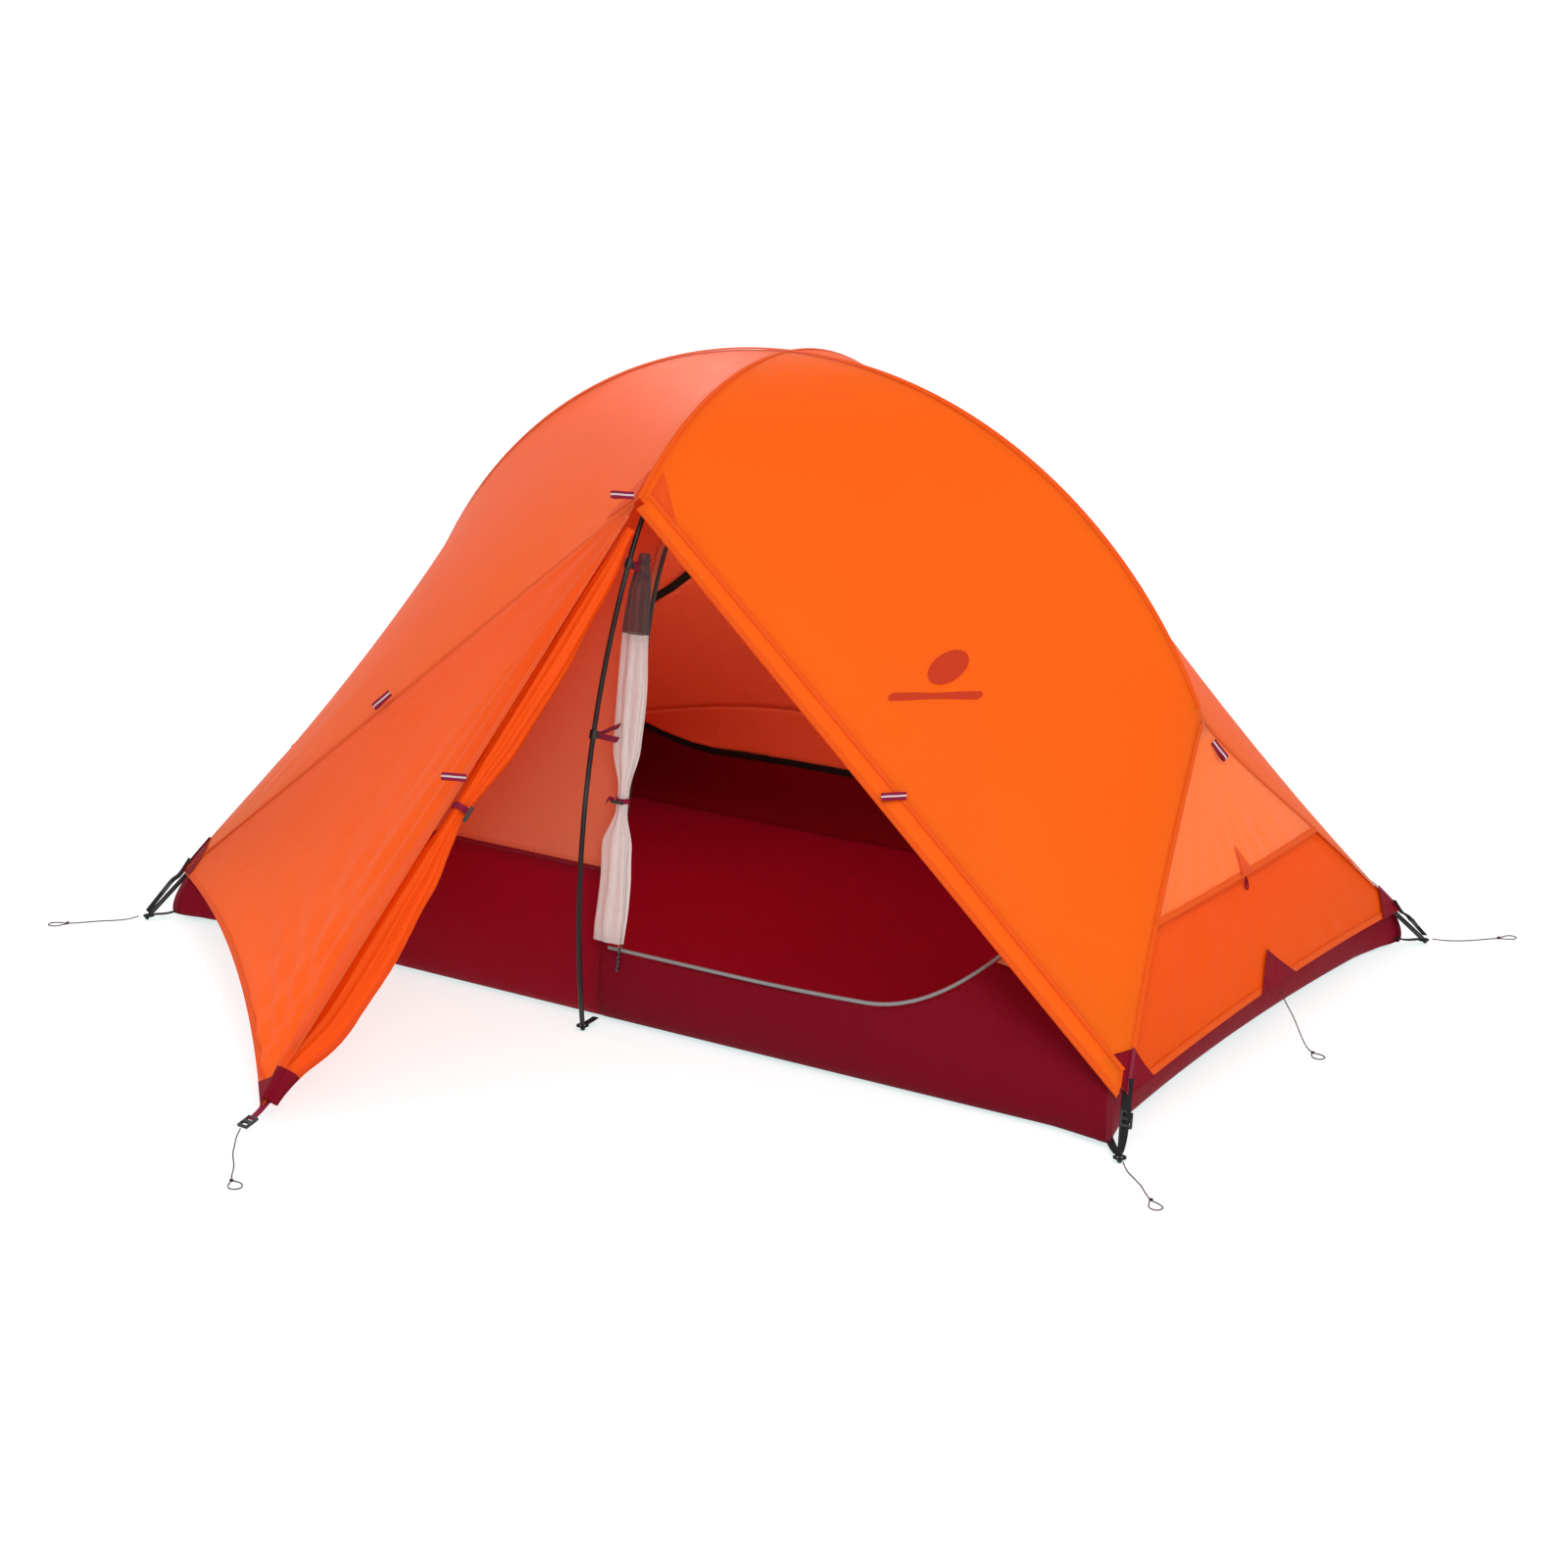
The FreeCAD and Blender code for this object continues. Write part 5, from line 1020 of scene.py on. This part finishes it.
def door_outline(inset):
    """The doorway's D in the XZ plane, counted from the sill's inner end."""
    low = SILL + inset
    sill = [(0.014 + inset + (0.546 - inset) * i / 24, low) for i in range(24)]
    widest = (0.80 - inset, 0.275)
    high = (0.55 - inset, 0.581 - inset)
    low_bend = arc_points((0.56, low), (0.72 - inset, 0.19 + inset), widest, 20)
    high_bend = arc_points(widest, (0.752 - inset, 0.376 - inset), high, 20)
    shoulder = arc_points(high, (0.30 - inset, 0.765 - inset), (0.054, 0.905 - inset), 28)
    jamb = [(0.054 - (0.040 - inset) * i / 4, 0.905 - inset - 0.025 * i / 4) for i in range(4)]
    jamb += [(0.014 + inset, 0.88 - inset - (0.734 - 2 * inset) * i / 30) for i in range(30)]
    return sill + low_bend + high_bend + shoulder + jamb


def wall_relief(seed, amount=1.0):
    def relief(u, v, x, y):
        held = min(1.0, 8 * u + 0.2, 8 * (1 - u), 8 * v, 8 * (1 - v))
        return held * amount * (wobble(x, y, seed, 4, 3) * 0.006 + wobble(x, y, seed + 4, 18, 4) * 0.0018)
    return relief


def tub_relief(seed):
    def relief(u, v, x, y):
        held = min(1.0, 10 * v + 0.1, 12 * u, 12 * (1 - u)) * (1 - smooth(0.45, 0.7, v))
        return held * (wobble(x, y, seed, 6, 6) * 0.0035 + wobble(x, y, seed + 2, 30, 10) * 0.0012)
    return relief


def shut_prism(name, outline):
    """Closed prism of the doorway through the near wall, to cut with."""
    count = len(outline)
    points = [vec(x, -0.80, z) for x, z in outline] + [vec(x, -0.05, z) for x, z in outline]
    faces = [(i, (i + 1) % count, (i + 1) % count + count, i + count) for i in range(count)]
    faces += [tuple(reversed(range(count))), tuple(range(count, 2 * count))]
    prism = link(name, points, faces)
    shell = bmesh.new()
    shell.from_mesh(prism.data)
    bmesh.ops.recalc_face_normals(shell, faces=shell.faces)
    shell.to_mesh(prism.data)
    shell.free()
    return prism


CLOTH_THICKNESS = 0.0005


def trim(thing, cutter, operation):
    """Gives the sheet a cloth's thickness and cuts it with the prism."""
    thick = thing.modifiers.new("thick", "SOLIDIFY")
    thick.thickness = CLOTH_THICKNESS
    cut = thing.modifiers.new("cut", "BOOLEAN")
    cut.operation = operation
    cut.object = cutter
    cut.solver = "EXACT"
    for name in ("thick", "cut"):
        with bpy.context.temp_override(object=thing, active_object=thing):
            bpy.ops.object.modifier_apply(modifier=name)


def half_turned(thing):
    thing.data.transform(Matrix.Rotation(math.pi, 4, "Z"))


def tree_of(*things):
    points = []
    faces = []
    for thing in things:
        base = len(points)
        points += [vertex.co.copy() for vertex in thing.data.vertices]
        faces += [[base + i for i in face.vertices] for face in thing.data.polygons]
    return BVHTree.FromPolygons(points, faces)


def dropped(tree, x, z, lift):
    """The near wall's surface at (x, z), seen from outside, and lift out from it."""
    hit, normal, _, _ = tree.ray_cast(vec(x, -0.9, z), vec(0, 1, 0))
    if hit is None:
        hit, normal, _, _ = tree.find_nearest(vec(x, -0.62, z))
    if normal.y > 0:
        normal = -normal
    return hit + normal * lift, normal


def outline_band(name, kind, tree, outline, width, lift, side):
    """Strip that follows the doorway's outline on the near wall, or on the far one where side is -1."""
    spots = [dropped(tree, x, z, lift) for x, z in outline]
    centres = [spot for spot, _ in spots]
    acrosses = []
    for index, (_, normal) in enumerate(spots):
        ahead = centres[min(index + 1, len(centres) - 1)] - centres[max(index - 1, 0)]
        acrosses.append(ahead.cross(normal))
    centres, acrosses = quarter_points(centres, side, side), quarter_points(acrosses, side, side)
    return ribbon(name, kind, centres, acrosses, width, thick=0.0012)


def wall_sheet(name, relief, sides=(1, 1)):
    return cloth(name, "wall", wall_point, 60, 64, lift=INNER_LIFT, relief=relief, sides=sides)


def tub_sheet(name, relief, kind="tub", sides=(1, 1)):
    return cloth(name, kind, tub_point, 40, 90, lift=INNER_LIFT, relief=relief, sides=sides)


def make_walls(prism):
    """Each side has a shut half and a half with the doorway cut out, in the wall and in the tub below it."""
    for word, side in (("near", 1), ("far", -1)):
        shut = wall_sheet("wall_cloth_%s_shut" % word, wall_relief(3.0 + side), sides=(-side, side))
        opened = wall_sheet("wall_cloth_%s_open" % word, wall_relief(6.0, 0.5))
        trim(opened, prism, "DIFFERENCE")
        shut_tub = tub_sheet("tub_cloth_%s_shut" % word, tub_relief(13.0 + side), sides=(-side, side))
        open_tub = tub_sheet("tub_cloth_%s_open" % word, tub_relief(17.0))
        trim(open_tub, prism, "DIFFERENCE")
        if side < 0:
            half_turned(opened)
            half_turned(open_tub)
        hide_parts("inner_wall_%s" % word)
        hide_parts("floor_tub")
        hem("tub_corner_seam_%s" % word, lambda t, u: tub_point(u, 0.02 + 0.97 * t), 1, 0.95,
            ((1, side), (-1, side)), kind="seam_red", lift=0.0, width=0.012)
        seam("tub_seam_%s" % word, tub_top, lambda t: tub_point(t, 0.05), kind="seam_red", lift=0.0014,
             sides=((-side, side),), width=0.009)


def make_far_door(prism):
    door = wall_sheet("inner_door_cloth_far", wall_relief(6.0, 0.5))
    low_door = tub_sheet("inner_door_low_far", tub_relief(17.0), kind="wall")
    for panel in (door, low_door):
        trim(panel, prism, "INTERSECT")
        half_turned(panel)
    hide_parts("inner_door_far")


def make_inner_ends():
    for word, side in (("right", 1), ("left", -1)):
        wall = cloth("end_wall_cloth_%s" % word, "wall",
                     lambda u, v: end_wall_point(END_TOP + (TUB_AT - END_TOP) * v, 2 * u - 1), 34, 44,
                     lift=INNER_LIFT, relief=wall_relief(21.0 + side), sides=(side, side))
        tub = cloth("end_tub_cloth_%s" % word, "tub", lambda u, v: end_tub_point(v, 2 * u - 1), 26, 90,
                    lift=INNER_LIFT, relief=tub_relief(27.0 + side), sides=(side, side))
        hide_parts("inner_end_%s" % word)


def floor_point(u, v):
    """The floor, whose edges follow the feet of the tub's walls."""
    along, across = 2 * u - 1, 2 * v - 1
    end_pull, side_pull = smooth(0.82, 1.0, abs(across)), smooth(0.88, 1.0, abs(along))
    half_length = TUB_CORNER.x + 0.039 - END_BOW * (1 - across**2) + 0.034 * end_pull
    half_width = 0.596 + 0.036 * side_pull
    return vec(along * half_length, across * half_width, 0.0022 + 0.004 * end_pull * side_pull)


def make_floor():
    floor = cloth("floor_cloth", "tub", floor_point, 60, 90,
                  relief=lambda u, v, x, y: wobble(x, y, 7.7, 5, 7) * 0.0016 + 0.003, centre=vec(0, 0, -1))


ZIP_COLOUR_CHANGE = 70


def make_door_zips(surface):
    """Near: a pale coil along the sill and the bend, then a dark band. Far: shut all round."""
    outline = door_outline(0.0045)
    near = outline_band("door_zip_coil_near", "sill_zip", surface, outline[:ZIP_COLOUR_CHANGE], 0.0075,
                        0.0016, 1)
    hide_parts("door_zip_near")
    outline_band("door_zip_top_near", "dark_zip", surface, outline[ZIP_COLOUR_CHANGE - 1:], 0.0085, 0.0016, 1)
    closed = outline + outline[:8]
    far = outline_band("door_zip_coil_far", "dark_zip", surface, closed, 0.020, 0.0016, -1)
    outline_band("door_zip_cover_far", "black_tape", surface, closed, 0.017, -0.0035, -1)
    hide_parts("door_zip_far")


def make_inner():
    """The inner tent. Gives back the whole near wall as a surface to lay things on."""
    prism = shut_prism("doorway_prism", door_outline(0.0))
    panel_prism = shut_prism("panel_prism", door_outline(0.010))
    whole_wall = cloth("wall_whole", "wall", wall_point, 40, 44)
    whole_tub = cloth("tub_whole", "tub", tub_point, 30, 44)
    surface = tree_of(whole_wall, whole_tub)
    make_walls(prism)
    make_far_door(panel_prism)
    make_inner_ends()
    make_floor()
    make_door_zips(surface)
    for spare in (whole_wall, whole_tub, prism, panel_prism):
        bpy.data.objects.remove(spare)
    return surface


WALL = make_inner()

# ---------------------------------------------------------------- the tied inner door

BUNDLE_X = 0.016


def bundle_middle(z):
    """Centre of the gathered door at height z, outside the wall at the doorway's jamb."""
    if z < TUB_MIDDLE.z:
        spot, _ = dropped(WALL, BUNDLE_X, z, 0.0)
        depth = spot.y
    else:
        depth = TUB_MIDDLE.y + 0.2 * (z - TUB_MIDDLE.z)
    lean = 0.008 * (1 - smooth(0.17, 0.38, z)) - 0.012 * smooth(0.45, 0.75, z)
    return vec(BUNDLE_X + lean, depth - bundle_reach(z)[1] - 0.006, z)


def bundle_reach(z):
    """Half widths of the gathered door: across the wall and through it."""
    rows = ((0.165, 0.032, 0.007), (0.20, 0.033, 0.011), (0.34, 0.028, 0.013), (0.405, 0.011, 0.008),
            (0.440, 0.011, 0.008), (0.52, 0.027, 0.012), (0.64, 0.031, 0.012), (0.728, 0.027, 0.010),
            (0.80, 0.024, 0.009), (0.87, 0.012, 0.006))
    for (low, wide, deep), (high, wide_2, deep_2) in zip(rows, rows[1:]):
        if z <= high:
            share = smooth(low, high, z)
            return wide + (wide_2 - wide) * share, deep + (deep_2 - deep) * share
    return rows[-1][1], rows[-1][2]


def bundle_piece(name, kind, low, high, rows):
    columns = 96
    points = []
    places = []
    edges = []
    for z in steps(low, high, rows):
        centre = bundle_middle(z)
        wide, deep = bundle_reach(z)
        for index in range(columns):
            angle = 2 * math.pi * index / columns
            pleat = 1 + 0.12 * math.sin(7 * angle + 3 * noise.noise(Vector((0, 0, z * 6))))
            pleat += 0.22 * noise.noise(Vector((math.cos(angle) * 1.4, math.sin(angle) * 1.4, z * 7)))
            points.append(centre + vec(math.cos(angle) * wide * pleat, math.sin(angle) * deep * pleat, 0))
            places.append((index / columns * 0.5, z))
            edges.append((0.2, min(z - low, high - z)))
    return sewn(name, kind, points, grid_faces(rows, columns, wrap=True), places, edges)


def make_bundle():
    white = bundle_piece("inner_door_nylon_tied", "white", 0.166, 0.728, 90)
    net = bundle_piece("inner_door_net_tied", "net", 0.726, 0.872, 30)
    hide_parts("inner_door_near_tied")


make_bundle()

# ---------------------------------------------------------------- webbing, loops, ties and patches


LOOP_LENGTH = 0.044
LOOP_GAP = 0.0012
FLOOR_STRAP_WIDTH = 0.015
FLY_STRAP_WIDTH = 0.014


def webbing(name, kind, points, across, width, thick=0.0016, count=14):
    """Tape along a gentle curve through given points."""
    smooth_line = []
    last = len(points) - 1
    for t in steps(0, last, count * last):
        low = min(int(t), last - 1)
        share = t - low
        a, b = points[max(low - 1, 0)], points[low]
        c, d = points[low + 1], points[min(low + 2, last)]
        smooth_line.append(
            0.5 * ((2 * b) + (c - a) * share + (2 * a - 5 * b + 4 * c - d) * share**2
                   + (3 * b - a - 3 * c + d) * share**3)
        )
    return ribbon(name, kind, smooth_line, [across] * len(smooth_line), width, thick=thick)


def folded_loop(name, origin, direction, out):
    """Webbing folded back on itself, with a drop-shaped eye at its end."""
    direction = direction.normalized()
    across = direction.cross(out).normalized()
    rise = across.cross(direction).normalized()
    half = ((0.0, 0.3), (0.35, 0.5), (0.6, 1.6), (0.85, 2.6))
    shape = half + ((1.0, 0.0),) + tuple((t, -side) for t, side in reversed(half))
    points = [origin + direction * LOOP_LENGTH * t + rise * LOOP_GAP * side for t, side in shape]
    return webbing(name, "loop", points, across, FLY_STRAP_WIDTH, thick=0.0009, count=6)


def make_loops():
    left_seam = (LEFT_CORNER - APEX).normalized()
    spots = (
        ("apex", APEX + vec(-0.006, -0.010, 0.006), vec(-0.60, -0.75, 0.10), vec(0.3, -0.8, 0.4)),
        ("zip", APEX + ZIP_LINE * 0.755 + ZIP_OUT * 0.012 + ZIP_SIDE * 0.030, vec(-0.80, -0.60, -0.05),
         vec(0.45, -0.75, 0.4)),
        ("edge", mix(APEX, STAKE, 0.475) + vec(0.004, -0.004, 0.004), vec(-0.84, -0.50, 0.06),
         vec(0.35, -0.8, 0.4)),
        ("seam", APEX + left_seam * 0.705 + vec(-0.010, -0.010, 0.008), vec(-0.55, -0.40, -0.62),
         vec(0.3, -0.8, 0.4)),
        ("hub", HUB + vec(0.017, 0.018, -0.046), vec(0.42, 0.40, -0.78), vec(0.8, -0.45, 0.3)),
    )
    for name, *placing in spots:
        for word, side in (("near", 1), ("far", -1)):
            turned = quarter_points(placing, side, side)
            folded_loop("loop_%s_%s" % (name, word), *turned)
    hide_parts("guy_out_loops")


def make_awning_loops():
    """Thin cranberry loop that hangs from the middle of each awning."""
    for name, side in (("right", 1), ("left", -1)):
        top = end_point(AWNING_AT, 0.02) + vec(0.004, 0, 0)
        drops = (vec(0, 0, 0), vec(0.004, 0.004, -0.014), vec(0.006, 0.005, -0.026),
                 vec(0.007, -0.001, -0.030), vec(0.006, -0.006, -0.024), vec(0.004, -0.003, -0.010))
        line = quarter_points([top + drop for drop in drops], side, side)
        webbing("awning_loop_%s" % name, "red_tape", line, vec(1, 0, 0), 0.004, thick=0.001, count=6)


def make_straps():
    """The webbing that holds the floor and the fly to the pole tips."""
    tip = vec(1.1149, -0.6713, 0.0087)
    floor_corner = vec(1.058, -0.612, 0.022)
    top = vec(1.0904, -0.5997, 0.0842)
    lock = vec(1.1033, -0.6293, 0.0597)
    foot = mix(lock, tip, 0.6) + vec(0.002, -0.002, 0.004)
    hem_corner = leg_seam(0.845) + vec(0.003, -0.002, 0.005)
    for name, side_x, side_y in QUARTERS:
        line = (floor_corner, mix(floor_corner, tip, 0.5) - UP * 0.004, mix(floor_corner, tip, 0.86))
        line = quarter_points(line, side_x, side_y)
        across = vec(0.72 * side_x, 0.69 * side_y, 0)
        webbing("floor_strap_%s" % name, "black_tape", line, across, FLOOR_STRAP_WIDTH)
        grommet("grommet_%s" % name, flipped(tip, side_x, side_y))
        side = vec(0.80 * side_x, 0.25 * side_y, 0.2)
        for word, line in (
            ("top", (hem_corner, top, mix(top, lock, 0.5) + vec(0.001, -0.001, 0.001), lock)),
            ("foot", (lock, foot, tip + vec(0.001, -0.003, 0.009))),
        ):
            line = quarter_points(line, side_x, side_y)
            webbing("fly_strap_%s_%s" % (word, name), "black_tape", line, side, FLY_STRAP_WIDTH)
    for name, side in (("near", 1), ("far", -1)):
        line = (vec(0, -0.640 * side, 0.013), vec(0, -0.655 * side, 0.0115), vec(0, -0.672 * side, 0.0105))
        webbing("cross_strap_%s" % name, "black_tape", line, vec(1, 0, 0), FLOOR_STRAP_WIDTH)
        grommet("grommet_cross_%s" % name, vec(0, -0.6817 * side, 0.0098))
        line = (STAKE + vec(0.004, 0.014, 0.012), STAKE + vec(0.001, -0.006, -0.001),
                STAKE + vec(-0.001, -0.026, -0.010))
        line = quarter_points(line, side, side)
        webbing("stake_strap_%s" % name, "red_tape", line, vec(1, 0, 0), FLY_STRAP_WIDTH)
    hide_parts("floor_corner_webbing")
    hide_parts("fly_corner_straps")


def grommet(name, centre):
    """Webbing ring with its eyelet, round the end of a pole."""
    count = 40
    profile = ((0.0052, 0.0), (0.0056, 0.0012), (0.0068, 0.0015), (0.0080, 0.0009), (0.0118, 0.0007),
               (0.0118, -0.0007), (0.0068, -0.0012), (0.0054, -0.0008))
    points = []
    places = []
    for radius, rise in profile:
        for index in range(count):
            angle = 2 * math.pi * index / count
            points.append(centre + vec(radius * math.cos(angle), radius * math.sin(angle), rise))
            places.append((angle * radius, radius))
    faces = grid_faces(len(profile), count, wrap=True)
    last = (len(profile) - 1) * count
    faces += [(last + i, last + (i + 1) % count, (i + 1) % count, i) for i in range(count)]
    thing = link(name, points, faces)
    lay_uv(thing, places)
    return dress(thing, "black_tape")


def make_ties():
    """Cranberry ties round the inner door's bundle and the fly door's roll."""
    centre = bundle_middle(0.424)
    roll_middle = mix(APEX, STAKE, 0.5125) + ROLL_SIDE * 0.022 - ROLL_ACROSS * 0.003
    for number, (middle, axis, radius_a, radius_b, width) in enumerate((
        (centre, UP, 0.0135, 0.0105, 0.010),
        (roll_middle, ROLL_LINE, 0.0178, 0.0150, 0.012),
    )):
        side = ROLL_ACROSS if number else vec(1, 0, 0)
        depth = axis.cross(side).normalized()
        line = [middle + side * radius_a * math.cos(a) + depth * radius_b * math.sin(a)
                for a in steps(0, 2 * math.pi, 40)]
        ribbon("tie_band_%d" % number, "red_tape", line, [axis] * len(line), width, thick=0.0012)
    tail = [centre + vec(-0.012, -0.010, 0.0), centre + vec(-0.019, -0.017, 0.004),
            centre + vec(-0.024, -0.020, -0.006)]
    webbing("tie_tail", "red_tape", tail, vec(0, 0.2, 1), 0.008, thick=0.001)
    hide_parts("door_ties")


PATCH_ROWS = 14


def barycentric_patch(name, kind, surface, corners, lift, sides):
    """Three-cornered piece of cloth sewn on a surface. corners are three (u, v) places on it."""
    for number, (side_x, side_y) in enumerate(sides):
        points = []
        places = []
        edges = []
        faces = []
        starts = []
        for i in range(PATCH_ROWS + 1):
            starts.append(len(points))
            for j in range(i + 1):
                a = 1 - i / PATCH_ROWS
                c = j / PATCH_ROWS
                b = 1 - a - c
                u, v = (corners[0][k] * a + corners[1][k] * b + corners[2][k] * c for k in (0, 1))
                here = surface(u, v)
                du = surface(u + 0.004, v) - here
                dv = surface(u, v + 0.004) - here
                normal = outward(du.cross(dv).normalized(), here)
                points.append(flipped(here + normal * lift, side_x, side_y))
                places.append((u * 1.4, v * 1.1))
                edges.append((min(a, b, c) * 0.15, 0.5))
        for i in range(PATCH_ROWS):
            for j in range(i + 1):
                top, low = starts[i] + j, starts[i + 1] + j
                faces.append((top, low, low + 1))
                if j < i:
                    faces.append((top, low + 1, top + 1))
        sewn("%s_%d" % (name, number), kind, points, faces, places, edges)


def make_corner_patches():
    """Cranberry pieces at the corners and in the middle of the ends, and tape over the corner seams."""
    barycentric_patch("corner_patch", "tub", roof_point, ((1.0, 0.905), (0.945, 0.999), (1.0, 1.0)), 0.0034,
                      ALL_SIDES)
    for word, side in (("near", -1), ("far", 1)):
        barycentric_patch("end_%s_patch" % word, "tub", lambda u, v: end_point(v, u * side),
                          ((1.0, 0.787), (1.0, 0.874), (0.84, 0.876)), 0.0034, BOTH_ENDS)
    barycentric_patch("end_hem_patch", "tub", lambda u, v: end_point(v, u),
                      ((0.0, 0.775), (-0.13, 0.876), (0.13, 0.876)), 0.0034, BOTH_ENDS)
    seam("seam_corner", lambda t: leg_seam(0.787 + t * 0.085), lambda t: end_point(0.787 + t * 0.085, -0.95),
         kind="red_tape", lift=0.0030, width=0.013, sides=ALL_SIDES)


def make_fly_patches():
    for name, kind, surface, corners, lift, sides in (
        ("awning_patch", "patch", awning_point, ((0.49, 0.84), (0.465, 0.99), (0.53, 0.99)), 0.0050,
         BOTH_ENDS),
        ("stake_patch", "tub", fixed_panel_point, ((0.93, 0.998), (0.998, 0.945), (0.998, 0.998)), 0.0045,
         BOTH_ENDS),
        ("vestibule_patch", "tub", fixed_panel_point, ((0.002, 0.95), (0.002, 0.998), (0.045, 0.998)), 0.0026,
         BOTH_ENDS),
        ("apex_patch", "patch", roof_point, ((0.012, 0.86), (0.012, 0.985), (0.075, 0.965)), 0.0018,
         ALL_SIDES),
    ):
        barycentric_patch(name, kind, surface, corners, lift, sides)


make_loops()
make_awning_loops()
make_straps()
make_ties()
make_corner_patches()
make_fly_patches()

# ---------------------------------------------------------------- clips' webbing and printed mark

RIDGE_POLE = 0.98725


def make_clip_webbing():
    """Short cranberry tapes from each clip on the poles down to the inner tent."""
    number = 0
    for along in (0.2, 0.42, 0.64, 0.86):
        for side in (-1, 1):
            top = ridge(along * side, RIDGE_POLE - 0.018)
            foot = ridge(along * side, INNER_RIDGE + 0.001)
            line = (top, mix(top, foot, 0.5), foot)
            webbing("clip_tape_%d" % number, "red_tape", line, vec(0, 1, 0), 0.010, thick=0.001)
            number += 1
    walls = [inner_arch(a) for a in steps(0, 1, 200)]
    for y, z in ((0.316, 1.0822), (0.5258, 0.8615), (0.639, 0.5628)):
        clip = vec(0, -y, z)
        foot = min(walls, key=lambda spot: (spot - clip).length)
        for side in (1, -1):
            for spread in (0.017, -0.017):
                top = vec(0, -(y - 0.012) * side, z - 0.004)
                low = vec(0, foot.y * side, foot.z + spread)
                line = (top, mix(top, low, 0.5) + UP * spread * 0.1, low)
                webbing("clip_tape_%d" % number, "red_tape", line, vec(0.5, 0, 1), 0.013, thick=0.0014)
                number += 1


PRINT_RINGS = 10


def printed(name, surface, outline, middle):
    """Flat print on the near right roof: outline is a closed list of (x, z) round the middle."""
    points = []
    places = []
    edges = []
    for ring in range(PRINT_RINGS + 1):
        for x, z in outline:
            spot_x = middle[0] + x * ring / PRINT_RINGS
            spot_z = middle[1] + z * ring / PRINT_RINGS
            hit, normal, _, _ = surface.ray_cast(vec(spot_x, -1.2, spot_z), vec(0, 1, 0))
            points.append(hit + (normal if normal.y < 0 else -normal) * 0.0016)
            places.append((spot_x, spot_z))
            edges.append((0.5, 0.5))
    sewn(name, "mark", points, grid_faces(PRINT_RINGS + 1, len(outline), wrap=True), places, edges)


def make_mark():
    """Plain printed disc over a bar, in a deeper orange."""
    roof = tree_of(bpy.data.objects["fly_roof_cloth_near_right"])
    disc = [(0.026 * math.cos(a), 0.026 * math.sin(a)) for a in steps(0, 2 * math.pi, 49)[:-1]]
    bar = []
    for side in (1, -1):
        for a in steps(-math.pi / 2, math.pi / 2, 9):
            bar.append((side * (0.060 + 0.006 * math.cos(a)), side * 0.006 * math.sin(a)))
    printed("printed_disc", roof, disc, (0.575, 0.712))
    printed("printed_bar", roof, bar, (0.575, 0.668))


make_clip_webbing()
make_mark()

# ---------------------------------------------------------------- CAD parts that show as they are

CAD_KINDS = {
    "pole": ("ridge_pole", "cross_pole", "leg_pole_near_right", "leg_pole_near_left", "leg_pole_far_right",
             "leg_pole_far_left"),
    "ferrule": ("pole_ferrules",),
    "plastic": ("hub_right", "hub_left", "pole_clips", "crossing_clip", "ladder_locks", "tie_toggles",
                "pole_tips"),
    "metal": ("near_fly_slider", "far_fly_slider", "near_door_slider", "far_door_slider"),
    "pull": ("near_fly_pull", "far_fly_pull", "near_door_pull", "far_door_pull"),
    "elastic": ("shock_cords",),
}
for kind, names in CAD_KINDS.items():
    for name in names:
        data = NODES[name].data
        data.materials.clear()
        data.materials.append(MATERIALS[kind])

# ---------------------------------------------------------------- floor, lights and world


def area_light(name, place, target, power, width, colour=(1, 1, 1)):
    data = bpy.data.lights.new(name, "AREA")
    data.shape = "RECTANGLE"
    data.size = width
    data.size_y = width
    data.energy = power
    data.color = colour
    light = bpy.data.objects.new(name, data)
    SCENE.collection.objects.link(light)
    light.location = place
    light.rotation_euler = (Vector(target) - Vector(place)).to_track_quat("-Z", "Y").to_euler()


@material_of
def floor_material(tree):
    """Matt floor that gives light of its own, so that it stays white outside the shadows."""
    matt = node(tree, "BsdfDiffuse", {"Color": (0.46, 0.32, 0.31, 1)})
    pale = node(tree, "Emission", {"Color": (0.575, 0.72, 0.73, 1), "Strength": 1.0})
    return node(tree, "AddShader", {0: matt, 1: pale})


def make_studio():
    floor = link("studio_floor", [(-30, -30, 0), (30, -30, 0), (30, 30, 0), (-30, 30, 0)], [(0, 1, 2, 3)])
    floor.data.materials.append(floor_material("studio_floor"))
    world = bpy.data.worlds.new("studio")
    world.use_nodes = True
    sky = world.node_tree.nodes["Background"].inputs
    sky["Color"].default_value = (1, 1, 1, 1)
    sky["Strength"].default_value = 1.05
    SCENE.world = world
    area_light("key", (3.6, -3.2, 4.4), (0.2, 0, 0.5), 125, 2.8)
    area_light("glow", (-3.8, 3.1, 3.3), (-0.1, -0.2, 0.9), 60, 1.8)
    area_light("inside", (-0.40, -0.20, 0.80), (0.1, 0.5, 0.45), 4, 0.3, colour=(1, 0.62, 0.4))
    bpy.data.objects["inside"].visible_camera = False
    SCENE.view_settings.view_transform = "Standard"
    SCENE.view_settings.look = "None"


make_studio()
